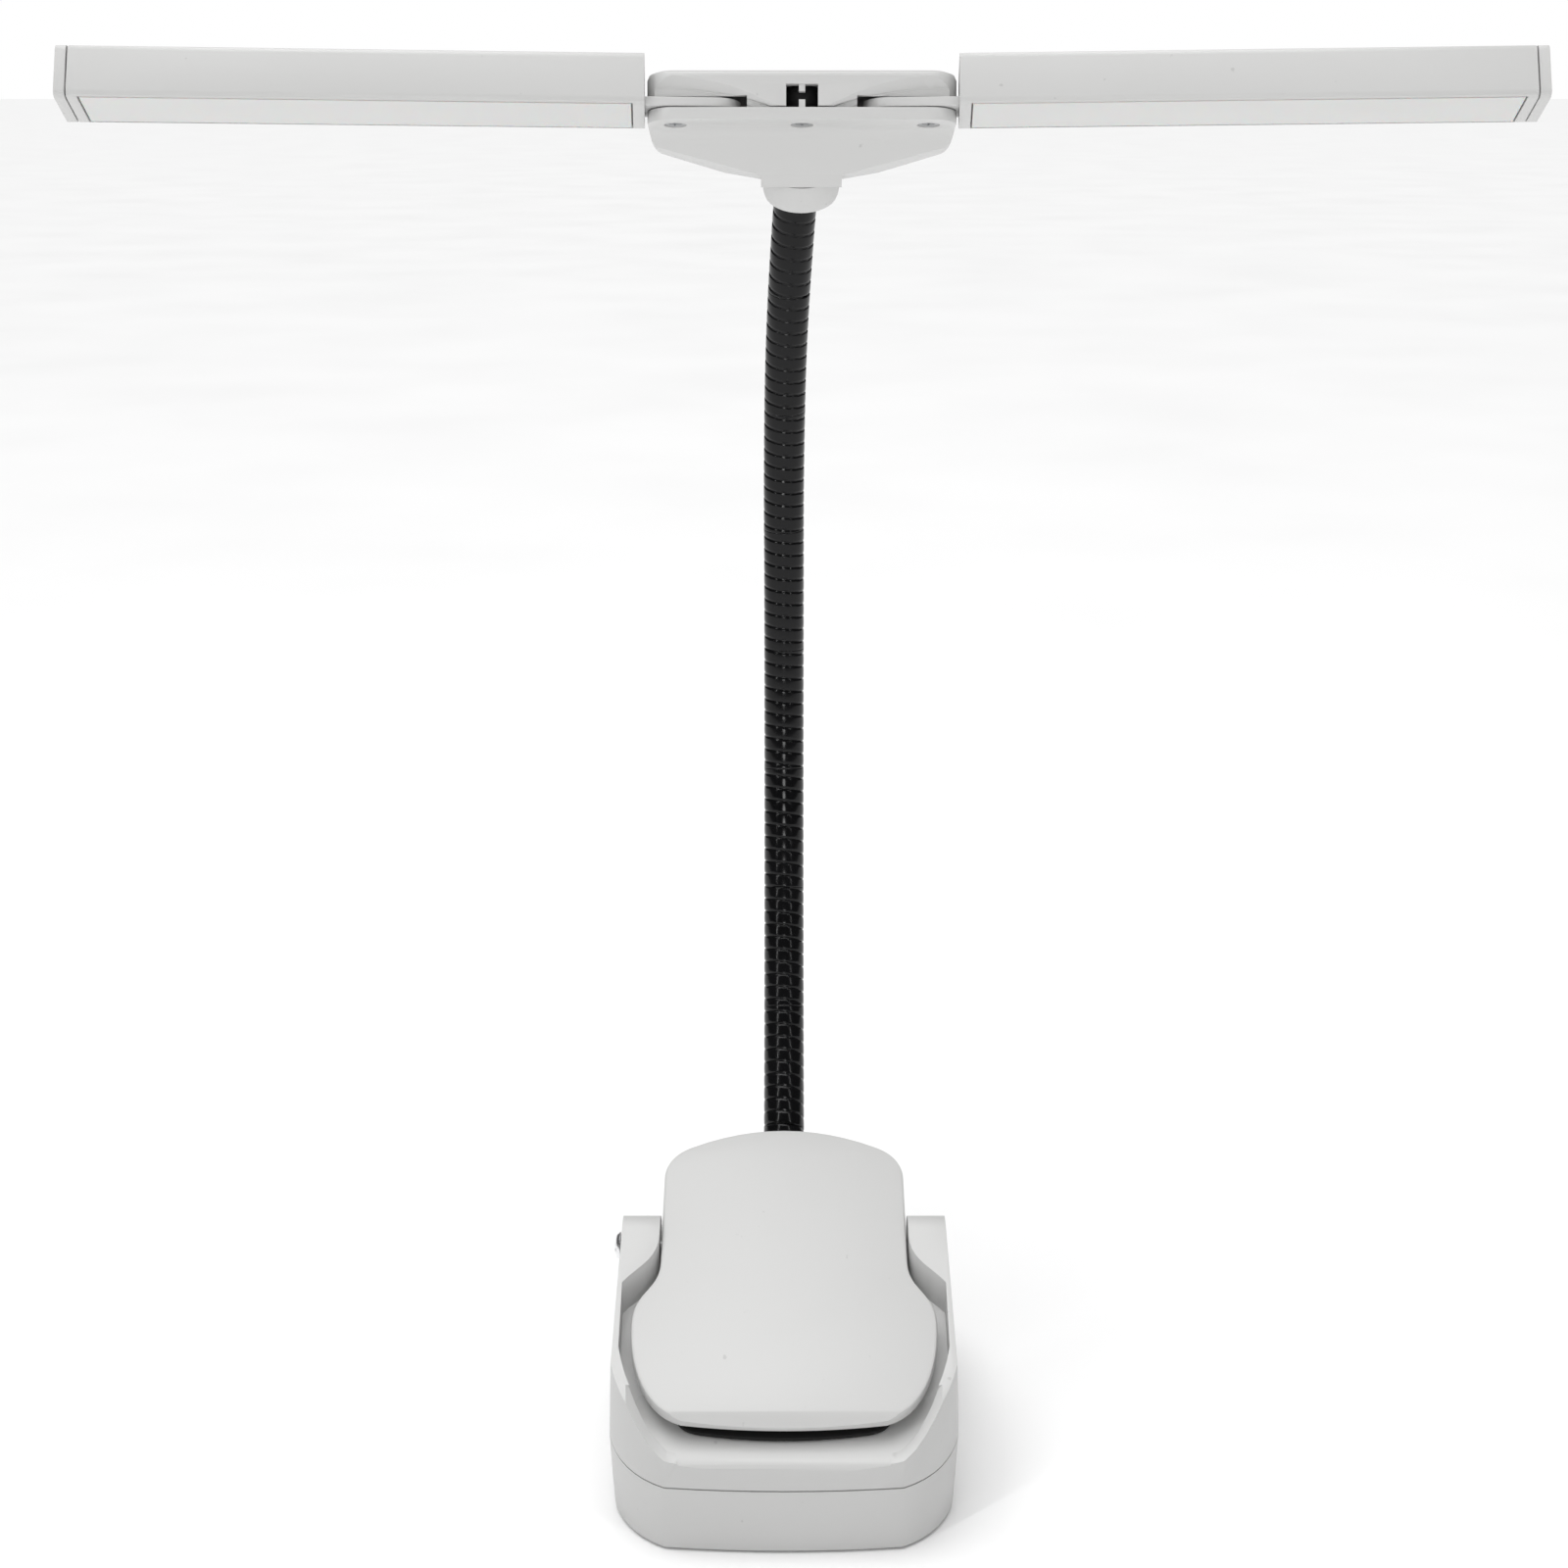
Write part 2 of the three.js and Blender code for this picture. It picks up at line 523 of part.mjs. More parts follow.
// Room for the jaw: the base's own outline moved in, narrowing between the ears, and a mouth in
// front. Its floor slopes with the closed jaw and is rounded over at the front edge.
function jawRecess() {
  const wide = BASE_HALF;
  const narrowFrom = PIVOT_Y - 18;
  const narrowTo = PIVOT_Y - 4;
  const pull = PIVOT_Y - 11;
  const throat = new THREE.Shape();
  throat.moveTo(wide, BASE_FRONT - 10);
  throat.lineTo(wide, narrowFrom);
  throat.bezierCurveTo(wide - ARM_WALL, pull, EAR_INNER, pull, EAR_INNER, narrowTo);
  throat.lineTo(EAR_INNER, BASE_REAR);
  throat.lineTo(-EAR_INNER, BASE_REAR);
  throat.lineTo(-EAR_INNER, narrowTo);
  throat.bezierCurveTo(-EAR_INNER, pull, -wide + ARM_WALL, pull, -wide, narrowFrom);
  throat.lineTo(-wide, BASE_FRONT - 10);
  const high = 3 * PIVOT_HEIGHT;
  const room = slab(throat, 0, high, 0, 12).intersect(slab(basePlan(ARM_WALL), 0, high)).add(mouthRoom());
  const edge = slopeHeight(BASE_FRONT, LEDGE);
  const backY = BASE_FRONT + LEDGE_ROUND * Math.cos(CLIP_SLOPE);
  const floor = new THREE.Shape();
  floor.moveTo(BASE_FRONT - 5, edge - LEDGE_ROUND);
  floor.lineTo(BASE_FRONT, edge - LEDGE_ROUND);
  floor.quadraticCurveTo(BASE_FRONT, edge, backY, slopeHeight(backY, LEDGE));
  floor.lineTo(BASE_REAR, slopeHeight(BASE_REAR, LEDGE));
  floor.lineTo(BASE_REAR, high);
  floor.lineTo(BASE_FRONT - 5, high);
  const cut = sideSlab(floor, -BASE_WIDTH, BASE_WIDTH, 6).intersect(room);
  const wellFront = PIVOT_Y - PAD_BACK + 4;
  const well = box([-EAR_INNER, wellFront, WELL_FLOOR], [EAR_INNER, PIVOT_Y + 9, 2 * PIVOT_HEIGHT]);
  return cut.add(well);
}

// The mouth: soft sides that flare upwards, carried along the slope of its floor.
function mouthRoom() {
  const [shoulderX, shoulderZ] = MOUTH_SHOULDER;
  const [topX, topZ] = MOUTH_TOP;
  const shape = new THREE.Shape();
  shape.moveTo(-MOUTH_HALF, -topZ);
  shape.lineTo(MOUTH_HALF, -topZ);
  shape.lineTo(MOUTH_HALF, 0);
  shape.quadraticCurveTo((MOUTH_HALF + shoulderX) / 2, 0, shoulderX, shoulderZ);
  shape.lineTo(topX, topZ);
  shape.lineTo(topX, PIVOT_HEIGHT);
  shape.lineTo(-topX, PIVOT_HEIGHT);
  shape.lineTo(-topX, topZ);
  shape.lineTo(-shoulderX, shoulderZ);
  shape.quadraticCurveTo(-(MOUTH_HALF + shoulderX) / 2, 0, -MOUTH_HALF, 0);
  const level = frontSlab(shape, BASE_FRONT - 5, BASE_FRONT + CORNER_WIDTH);
  const climb = Math.tan(CLIP_SLOPE);
  const rise = slopeHeight(0, LEDGE);
  return moved(level, new THREE.Matrix4().set(1, 0, 0, 0, 0, 1, 0, 0, 0, climb, 1, rise, 0, 0, 0, 1));
}

function topShell() {
  let body = sideSlab(baseSideOutline(), -BASE_HALF, BASE_HALF, 14);
  body = body.intersect(slab(basePlan(0), 0, 2 * PIVOT_HEIGHT));
  body = body.intersect(frontSlab(baseFrontOutline(), BASE_FRONT - 1, BASE_REAR + 1));
  body = body.subtract(jawRecess());
  body = body.subtract(baseCavity());
  const bossRoot = neckStart.clone().addScaledVector(neckStartDirection, -BOSS_LENGTH);
  const boss = rod(bossRoot.toArray(), neckStart.toArray(), BOSS_RADIUS)
    .intersect(box(
      [-BASE_HALF, BASE_FRONT, DECK_HEIGHT - DECK_WALL + GAP], [BASE_HALF, BASE_REAR, 2 * PIVOT_HEIGHT]));
  body = body.add(boss);
  for (const [x, y] of casePosts) {
    body = body.add(rod([x, y, POST_LOW], [x, y, DECK_HEIGHT - 1.1], POST_RADIUS));
    body = body.subtract(rod([x, y, 0], [x, y, DECK_HEIGHT - 7], CASE_SCREW_RADIUS + GAP, 16));
  }
  const plugEnd = neckStart.clone().addScaledVector(neckStartDirection, -NECK_PLUG - GAP);
  const bore = neckStart.clone().addScaledVector(neckStartDirection, 1);
  body = body.subtract(rod(plugEnd.toArray(), bore.toArray(), NECK_RADIUS + GAP));
  const wireEnd = neckStart.clone().addScaledVector(neckStartDirection, -BOSS_LENGTH - 6);
  body = body.subtract(rod(wireEnd.toArray(), bore.toArray(), 1.6, 12));
  const ear = [BASE_HALF + 1, PIVOT_Y, PIVOT_HEIGHT];
  body = body.subtract(rod([-ear[0], ear[1], ear[2]], ear, PIN_RADIUS + GAP, 16));
  const nutSeat = rod([EAR_OUTER - NUT_HEIGHT - GAP, ear[1], ear[2]], ear, NUT_RADIUS + GAP, 20);
  return body.subtract(nutSeat);
}

// ---- Base: pads, cell, board, controls and fasteners -------------------------------------------

// A jaw pad's outline in the jaw's frame, following the plate's front edge, with round front corners.
function padOutline(half, front) {
  const bow = 1.2;
  const side = -front + bow + PAD_CORNER;
  const shape = new THREE.Shape();
  shape.moveTo(-half + PAD_CORNER, -front + bow);
  shape.quadraticCurveTo(0, -front - bow, half - PAD_CORNER, -front + bow);
  shape.quadraticCurveTo(half, -front + 1.6 * bow, half, side);
  shape.lineTo(half, -PAD_BACK - 2);
  shape.quadraticCurveTo(half, -PAD_BACK, half - 2, -PAD_BACK);
  shape.lineTo(-half + 2, -PAD_BACK);
  shape.quadraticCurveTo(-half, -PAD_BACK, -half, -PAD_BACK - 2);
  shape.lineTo(-half, side);
  shape.quadraticCurveTo(-half, -front + 1.6 * bow, -half + PAD_CORNER, -front + bow);
  return shape;
}

function controlBoard() {
  const [width, length] = BOARD_SIZE;
  const rear = BASE_REAR - 5;
  return slab(roundedRectangle(width, rear - length, rear, 1), BOARD_HEIGHT, BOARD_TOP);
}

function chargingSocket() {
  const [width, length, height] = SOCKET_SIZE;
  const low = BOARD_TOP + GAP;
  const rear = BASE_REAR - 0.6;
  const middle = low + height / 2;
  let body = box([SOCKET_X - width / 2, rear - length, low], [SOCKET_X + width / 2, rear, low + height]);
  body = body.subtract(box([SOCKET_X - width / 2 + 0.4, rear - length + 1, low + 0.4],
    [SOCKET_X + width / 2 - 0.4, rear + 1, low + height - 0.4]));
  return body.add(box([SOCKET_X - width / 3, rear - length + 0.5, middle - 0.35],
    [SOCKET_X + width / 3, rear - 0.8, middle + 0.35]));
}

function tactileSwitch(x) {
  const [width, length, height] = SWITCH_SIZE;
  const rear = BASE_REAR - 5.6;
  const low = BOARD_TOP + GAP;
  return box([x - width / 2, rear - length, low], [x + width / 2, rear, low + height]);
}

// Cap through the wall, flange behind it, and a stem that reaches for the switch.
function pushButton(x) {
  const [width, height] = BUTTON_SIZE;
  const inner = BASE_REAR - SHELL_WALL - GAP;
  let body = capsuleAlongY(x, width, height, inner - 0.5, BASE_REAR + BUTTON_PROUD);
  body = body.add(capsuleAlongY(x, width + 1.6, height + 1.6, inner - 1, inner));
  const stemEnd = BASE_REAR - 5.6 + GAP + BUTTON_TRAVEL;
  return body.add(rod([x, stemEnd, CONTROL_HEIGHT], [x, inner - 0.5, CONTROL_HEIGHT], 1.1, 16));
}

function indicatorPipe() {
  const inner = BASE_REAR - SHELL_WALL - GAP;
  const profile = [[0, 0], [1.8, 0], [1.8, 0.8], [1.1, 0.8], [1.1, SHELL_WALL + 1], [0, SHELL_WALL + 1.2]];
  return aim(turned(profile, 16), [INDICATOR_X, inner - 0.8, CONTROL_HEIGHT], [0, 1, 0]);
}

function caseScrew(x, y) {
  const profile = [
    [0, 0], [CASE_SCREW_HEAD, 0], [CASE_SCREW_HEAD, 1.4], [CASE_SCREW_RADIUS, 2],
    [CASE_SCREW_RADIUS, 14], [0, 14.6],
  ];
  const low = REST_PAD_PROUD + 0.3;
  const slot = box([-0.4, -CASE_SCREW_HEAD, -1], [0.4, CASE_SCREW_HEAD, 0.5]);
  const body = turned(profile, 18).subtract(slot);
  return moved(body, new THREE.Matrix4().makeTranslation(x, y, low));
}

// Domed cross-slot screw through both ears, head on the left.
function pivotScrew() {
  const length = 2 * EAR_OUTER - NUT_HEIGHT + 0.8;
  const r = PIVOT_HEAD_RADIUS;
  const h = PIVOT_HEAD_HEIGHT;
  const profile = [
    [0, -h], [r * 0.45, -h * 0.9], [r * 0.8, -h * 0.6], [r, 0],
    [PIN_RADIUS, 0], [PIN_RADIUS, length], [0, length],
  ];
  let body = turned(profile, 24);
  body = body.subtract(box([-0.35, -r * 0.6, -h - 1], [0.35, r * 0.6, -h * 0.45]));
  body = body.subtract(box([-r * 0.6, -0.35, -h - 1], [r * 0.6, 0.35, -h * 0.45]));
  return aim(body, [-EAR_OUTER - GAP, PIVOT_Y, PIVOT_HEIGHT], [1, 0, 0]);
}

function pivotNut() {
  const start = EAR_OUTER - NUT_HEIGHT;
  const end = EAR_OUTER - 0.2;
  const hexagon = rod([start, PIVOT_Y, PIVOT_HEIGHT], [end, PIVOT_Y, PIVOT_HEIGHT], NUT_RADIUS, 6);
  return hexagon.subtract(rod([start - 1, PIVOT_Y, PIVOT_HEIGHT],
    [BASE_HALF + 1, PIVOT_Y, PIVOT_HEIGHT], PIN_RADIUS + GAP, 16));
}

// Torsion spring around the pin: turns, and a leg at each end that stands on the floor of the well.
function clipSpring() {
  const radius = PIN_RADIUS + GAP + SPRING_WIRE / 2;
  const half = (SPRING_TURNS * SPRING_PITCH) / 2;
  const at = (angle, x) => new THREE.Vector3(
    x, PIVOT_Y + radius * Math.cos(angle), PIVOT_HEIGHT + radius * Math.sin(angle));
  const legs = [0.1, 0.4, 0.7].map((t) => WELL_FLOOR + GAP + t * (PIVOT_HEIGHT - WELL_FLOOR));
  const points = legs.map((z) => new THREE.Vector3(-half, PIVOT_Y + radius, z));
  const steps = 12 * SPRING_TURNS;
  const sweep = (SPRING_TURNS + 0.5) * FULL_TURN;
  for (let i = 0; i <= steps; i += 1) {
    const t = i / steps;
    points.push(at(sweep * t, -half + 2 * half * t));
  }
  legs.reverse().forEach((z) => points.push(new THREE.Vector3(half, PIVOT_Y - radius, z)));
  const path = new THREE.CatmullRomCurve3(points, false, 'centripetal');
  const section = new THREE.Shape();
  section.absarc(0, 0, SPRING_WIRE / 2, 0, FULL_TURN, false);
  return solid(new THREE.ExtrudeGeometry(section, {
    steps: 2 * steps, curveSegments: 3, extrudePath: path, bevelEnabled: false,
  }));
}

piece('base_bottom_shell', bottomShell(), shellGrey());
piece('base_top_shell', topShell(), shellGrey());
piece('rest_pad', slab(restPadPlan(0), 0, REST_PAD_THICKNESS), rubberBlack());
piece('lower_jaw_pad', moved(
  slab(padOutline(LOWER_PAD_HALF, LOWER_PAD_FRONT), LEDGE + GAP, LOWER_PAD_TOP), jawMatrix), rubberBlack());

const [cellWidth, cellLength, cellHeight] = CELL_SIZE;
const cellFront = BASE_FRONT + 9;
piece('battery_cell', slab(roundedRectangle(cellWidth, cellFront, cellFront + cellLength, 3),
  FLOOR_TOP + GAP, FLOOR_TOP + GAP + cellHeight, 0.8, 4), cellWrap());
piece('control_board', controlBoard(), boardGreen());
piece('charging_socket', chargingSocket(), steel());
piece('power_switch', tactileSwitch(POWER_X), steel());
piece('brightness_switch', tactileSwitch(BRIGHTNESS_X), steel());
piece('power_button', pushButton(POWER_X), rubberBlack());
piece('brightness_button', pushButton(BRIGHTNESS_X), rubberBlack());
piece('charge_indicator', indicatorPipe(), lampWhite());
casePosts.forEach(([x, y], i) => piece(`case_screw_${i + 1}`, caseScrew(x, y), steel()));
piece('pivot_screw', pivotScrew(), chrome());
piece('pivot_nut', pivotNut(), steel());
piece('clip_spring', clipSpring(), steel());

// ---- Jaw ---------------------------------------------------------------------------------------

function jawPlate() {
  const rimLow = PLATE_UNDER - RIM_DEPTH;
  const rimFront = -6;
  let body = slab(jawPlan(0), rimLow - 3, PLATE_TOP, 0.7, 12);
  body = body.intersect(box([-BASE_WIDTH, -BASE_LENGTH, rimLow], [BASE_WIDTH, BASE_LENGTH, PLATE_TOP + 1]));
  body = body.subtract(box([-BASE_WIDTH, -BASE_LENGTH, rimLow - 1], [BASE_WIDTH, rimFront, PLATE_UNDER]));
  const under = slab(jawPlan(JAW_RIM), rimLow - 1, PLATE_UNDER, 0, 12);
  const behind = box([-BASE_WIDTH, rimFront - 1, rimLow - 2], [BASE_WIDTH, BASE_LENGTH, PLATE_TOP]);
  body = body.subtract(under.intersect(behind));
  const lip = polygon([
    [-PLATE_FRONT - 3, PLATE_TOP - 2.3], [-PLATE_FRONT, PLATE_TOP - LIP_DROP],
    [-PLATE_FRONT + LIP_CHAMFER, PLATE_TOP + 0.01], [-PLATE_FRONT + LIP_CHAMFER, PLATE_TOP + 2],
    [-PLATE_FRONT - 3, PLATE_TOP + 2],
  ]);
  body = body.subtract(sideSlab(lip, -BASE_HALF, BASE_HALF));
  const notchFront = [-NOTCH_HALF, PLATE_REAR / 2, rimLow - 2];
  body = body.subtract(box(notchFront, [NOTCH_HALF, PLATE_REAR + 5, PLATE_UNDER]));
  const lug = new THREE.Shape();
  lug.moveTo(LUG_RADIUS, PLATE_UNDER + 0.5);
  lug.lineTo(LUG_RADIUS, 0);
  lug.absarc(0, 0, LUG_RADIUS, 0, -Math.PI, true);
  lug.lineTo(-LUG_RADIUS, PLATE_UNDER + 0.5);
  const lugOuter = NARROW_HALF - 0.15;
  for (const side of [-1, 1]) {
    const faces = [side * lugOuter, side * (lugOuter - LUG_THICKNESS)];
    body = body.add(sideSlab(lug, Math.min(...faces), Math.max(...faces)));
  }
  body = body.subtract(rod([-BASE_HALF, 0, 0], [BASE_HALF, 0, 0], PIN_RADIUS + GAP, 16));
  const springHalf = (SPRING_TURNS * SPRING_PITCH) / 2 + 1.5;
  const pocketTop = PIN_RADIUS + GAP + SPRING_WIRE + GAP + 0.2;
  return body.subtract(box([-springHalf, -3, 0], [springHalf, SPRING_POCKET, pocketTop]));
}

function jawLiner() {
  const low = PLATE_UNDER - RIM_DEPTH + 0.2;
  let body = slab(jawPlan(JAW_RIM + GAP), low, low + 1.2, 0, 12);
  body = body.intersect(box([-BASE_HALF, LUG_RADIUS + 2.5, low - 1], [BASE_HALF, PLATE_REAR, PLATE_TOP]));
  const half = NOTCH_HALF + GAP;
  const notch = box([-half, PLATE_REAR / 2 + 1, low - 2], [half, PLATE_REAR + 5, PLATE_TOP]);
  return body.subtract(notch);
}

piece('jaw_plate', moved(jawPlate(), jawMatrix), shellGrey());
piece('jaw_liner', moved(jawLiner(), jawMatrix), shellGrey());
piece('upper_jaw_pad', moved(
  slab(padOutline(UPPER_PAD_HALF, UPPER_PAD_FRONT), UPPER_PAD_TOP - PAD_THICKNESS, UPPER_PAD_TOP),
  jawMatrix), rubberBlack());

// ---- Gooseneck ---------------------------------------------------------------------------------

// The neck's line: an arc of constant curvature in the Y-Z plane, with a slow drift to the side
// over its upper part.
const neckTurn = NECK_END_LEAN - NECK_START_LEAN;
const neckBend = NECK_LENGTH / neckTurn;

function neckPoint(distance) {
  const lean = NECK_START_LEAN + distance / neckBend;
  const late = Math.max(0, (distance / NECK_LENGTH - NECK_DRIFT_FROM) / (1 - NECK_DRIFT_FROM));
  return new THREE.Vector3(
    NECK_DRIFT * late ** 2,
    neckStart.y + neckBend * (Math.cos(lean) - Math.cos(NECK_START_LEAN)),
    neckStart.z + neckBend * (Math.sin(lean) - Math.sin(NECK_START_LEAN)));
}

const linkLength = (NECK_LENGTH - 2 * NECK_STUB) / NECK_LINKS;
const neckJoint = (i) => neckPoint(NECK_STUB + i * linkLength);

// A stretch of neck between two points, domed where it meets a joint.
function neckStretch(from, to, domeStart, domeEnd) {
  const length = from.distanceTo(to);
  const start = domeStart ? NECK_LINK_GAP / 2 : 0;
  const end = length - (domeEnd ? NECK_LINK_GAP / 2 : 0);
  const r = NECK_RADIUS;
  const profile = [[0, start]];
  const dome = [[0.5, 0.36], [0.8, 0.75], [1, 1.2]];
  if (domeStart) dome.forEach(([across, rise]) => profile.push([r * across, start + rise]));
  else profile.push([r, start]);
  if (domeEnd) dome.reverse().forEach(([across, rise]) => profile.push([r * across, end - rise]));
  else profile.push([r, end]);
  profile.push([0, end]);
  return aim(turned(profile, 20), from.toArray(), to.clone().sub(from).toArray());
}

const neckRoot = neckStart.clone().addScaledVector(neckStartDirection, -NECK_PLUG);
piece('neck_foot', neckStretch(neckRoot, neckJoint(0), false, true), neckBlack());
for (let i = 0; i < NECK_LINKS; i += 1) {
  piece(`neck_link_${i + 1}`, neckStretch(neckJoint(i), neckJoint(i + 1), true, true), neckBlack());
}

// ---- Hub: X across, Y back along its plane, Z square to it, origin midway between the hinges ---

const neckEnd = neckPoint(NECK_LENGTH);
const stemUp = new THREE.Vector3(0, -Math.sin(NECK_END_LEAN), Math.cos(NECK_END_LEAN));
const hubBack = new THREE.Vector3(0, Math.cos(HUB_TILT), -Math.sin(HUB_TILT));
const hubOrigin = neckEnd.clone().setX(HUB_SHIFT)
  .addScaledVector(stemUp, STEM_LENGTH).addScaledVector(hubBack, -STEM_SETBACK);
const hub = new THREE.Group();
hub.position.copy(hubOrigin);
hub.rotation.x = -HUB_TILT;
object.add(hub);

// The stem's downward direction and the neck's end, in the hub's frame.
const stemAngle = NECK_END_LEAN + HUB_TILT;
const stemDown = [0, Math.sin(stemAngle), -Math.cos(stemAngle)];
const onStem = (distance) => [0, STEM_SETBACK + stemDown[1] * distance, stemDown[2] * distance];
const seamOnStem = STEM_LENGTH - COLLAR_HEIGHT;

// The neck's last straight stretch, and a point on its line in the hub's frame.
const headDirection = neckEnd.clone().sub(neckJoint(NECK_LINKS)).normalize();
const onHead = (distance) => neckEnd.clone().addScaledVector(headDirection, distance)
  .sub(hubOrigin).applyAxisAngle(new THREE.Vector3(1, 0, 0), HUB_TILT).toArray();

const SLOT_HALF = TONGUE_THICKNESS / 2 + GAP;
const HUB_SEAM = -SLOT_HALF;
const LOWER_FACE = -SLOT_HALF - LOWER_THICKNESS;
const UPPER_FACE = SLOT_HALF + UPPER_THICKNESS;
const HUB_HALF = PIVOT_X + HUB_END_RADIUS;

// Seen from above: straight front, front corners round about the hinges, rear running in to the stem.
function hubPlan(inset) {
  const r = HUB_END_RADIUS - inset;
  const end = HUB_HALF - inset;
  const corner = 5 - inset;
  const rear = WING_REAR - inset;
  const shape = new THREE.Shape();
  shape.moveTo(-PIVOT_X, -r);
  shape.lineTo(PIVOT_X, -r);
  shape.absarc(PIVOT_X, 0, r, -Math.PI / 2, 0, false);
  shape.lineTo(end, rear - corner);
  shape.absarc(end - corner, rear - corner, corner, 0, Math.PI / 2 - 0.3, false);
  shape.quadraticCurveTo(COLLAR_RADIUS + 3, HUB_REAR - inset - 1, 0, HUB_REAR - inset);
  shape.quadraticCurveTo(-COLLAR_RADIUS - 3, HUB_REAR - inset - 1,
    -end + corner - corner * Math.sin(0.3), rear - corner + corner * Math.cos(0.3));
  shape.absarc(-end + corner, rear - corner, corner, Math.PI / 2 + 0.3, Math.PI, false);
  shape.lineTo(-end, 0);
  shape.absarc(-PIVOT_X, 0, r, Math.PI, 1.5 * Math.PI, false);
  return shape;
}

// Seen from the front: the wings' lower edge runs down to the stem.
function hubFront(inset) {
  const end = HUB_HALF - inset;
  const wingLow = LOWER_FACE - WING_DROP + inset;
  const stemLow = LOWER_FACE - STEM_DROP + inset;
  const shape = new THREE.Shape();
  shape.moveTo(-end, UPPER_FACE);
  shape.lineTo(-end, LOWER_FACE + 1);
  shape.quadraticCurveTo(-end, wingLow, -end + 3, wingLow - 0.2);
  shape.lineTo(-COLLAR_RADIUS + inset, stemLow);
  shape.lineTo(-COLLAR_RADIUS + inset, -STEM_LENGTH);
  shape.lineTo(COLLAR_RADIUS - inset, -STEM_LENGTH);
  shape.lineTo(COLLAR_RADIUS - inset, stemLow);
  shape.lineTo(end - 3, wingLow - 0.2);
  shape.quadraticCurveTo(end, wingLow, end, LOWER_FACE + 1);
  shape.lineTo(end, UPPER_FACE);
  return shape;
}

// Seen from the side: flat underside, then a concave sweep into the stem.
function hubSide(inset) {
  const across = [Math.cos(stemAngle), Math.sin(stemAngle)]; // square to the stem, towards the rear
  const line = (distance, offset) => [
    STEM_SETBACK + stemDown[1] * distance + across[0] * offset, stemDown[2] * distance + across[1] * offset];
  const frontOffset = -COLLAR_RADIUS + inset;
  const low = LOWER_FACE + inset;
  const cornerDistance = (low - across[1] * frontOffset) / stemDown[2];
  const corner = line(cornerDistance, frontOffset);
  const blend = 2.4;
  const shape = new THREE.Shape();
  shape.moveTo(-HUB_END_RADIUS - 2, UPPER_FACE);
  shape.lineTo(-HUB_END_RADIUS - 2, low);
  shape.lineTo(corner[0] - blend, low);
  const past = line(cornerDistance + blend, frontOffset);
  shape.quadraticCurveTo(corner[0], corner[1], past[0], past[1]);
  const frontEnd = line(seamOnStem - GAP / 2, frontOffset);
  const rearEnd = line(seamOnStem - GAP / 2, COLLAR_RADIUS - inset);
  shape.lineTo(frontEnd[0], frontEnd[1]);
  shape.lineTo(rearEnd[0], rearEnd[1]);
  const top = line(0, COLLAR_RADIUS - inset);
  shape.lineTo(top[0] + 1, HUB_SEAM - 1);
  shape.lineTo(top[0] + 1, UPPER_FACE);
  return shape;
}

function hubBlank(inset, deep) {
  const plan = slab(hubPlan(inset), -2 * STEM_LENGTH, deep, 0, 8);
  const stem = rod(onStem(-2), onStem(seamOnStem - GAP / 2), COLLAR_RADIUS - inset, 36);
  const side = sideSlab(hubSide(inset), -HUB_HALF, HUB_HALF, 8);
  const wings = frontSlab(hubFront(inset), -30, 40, 6).intersect(side);
  const stemCap = box([-HUB_HALF, -30, -2 * STEM_LENGTH], [HUB_HALF, 40, deep]);
  return wings.intersect(plan).add(stem.intersect(stemCap));
}

function hubLowerShell() {
  const floor = LOWER_FACE + 1.4;
  let body = hubBlank(0, HUB_SEAM);
  const cavity = slab(hubPlan(HUB_WALL + 1.2), floor, HUB_SEAM + 1, 0, 8)
    .intersect(box([-PIVOT_X + 5, -HUB_END_RADIUS, floor - 1], [PIVOT_X - 5, HUB_REAR, HUB_SEAM + 2]))
    .subtract(rod([0, 0, floor - 2], [0, 0, HUB_SEAM + 2], 3, 20));
  body = body.subtract(cavity);
  body = body.subtract(rod(onHead(STEM_LENGTH), onHead(0), NECK_RADIUS + GAP));
  for (const x of [-PIVOT_X, 0, PIVOT_X]) {
    body = body.subtract(rod([x, 0, LOWER_FACE - 1], [x, 0, HUB_SEAM + 1], HINGE_SCREW_RADIUS + GAP, 16));
    body = body.subtract(rod([x, 0, LOWER_FACE - 3], [x, 0, LOWER_FACE + 1.1], HINGE_SCREW_HEAD + GAP, 20));
  }
  const rib = box([-RIB_WIDTH / 2, -HUB_END_RADIUS + 0.4, HUB_SEAM - 0.5],
    [RIB_WIDTH / 2, -HUB_END_RADIUS + 1.6, HUB_SEAM + 1.5]);
  return body.add(rib);
}

// The slot for one bar's tongue and its tail, open all round the end of the hub.
function tongueSlot(side) {
  const reach = PIVOT_X - TAIL_LENGTH - 1.2;
  const front = -HUB_END_RADIUS - 3;
  const rear = WING_REAR + 8;
  const corners = [
    [reach, front], [HUB_HALF + 3, front], [HUB_HALF + 3, rear], [reach + 9, rear], [reach, 6],
  ];
  return slab(polygon(corners.map(([x, y]) => [side * x, y])), HUB_SEAM - 1, SLOT_HALF);
}

// The bow-tie front: the wall is low in the middle and rises in an arc towards each end.
function frontArch(side) {
  const inner = WINDOW_WIDTH / 2 + 2.2;
  const outer = HUB_HALF + 2;
  const shape = new THREE.Shape();
  shape.moveTo(side * inner, HUB_SEAM);
  shape.quadraticCurveTo(side * (inner + 8), SLOT_HALF + 1.1, side * (outer - 6), SLOT_HALF + 1.6);
  shape.lineTo(side * outer, SLOT_HALF + 1.6);
  shape.lineTo(side * outer, HUB_SEAM - 1);
  shape.lineTo(side * inner, HUB_SEAM - 1);
  return frontSlab(shape, -HUB_END_RADIUS - 1, -HUB_END_RADIUS + 1.3, 8);
}

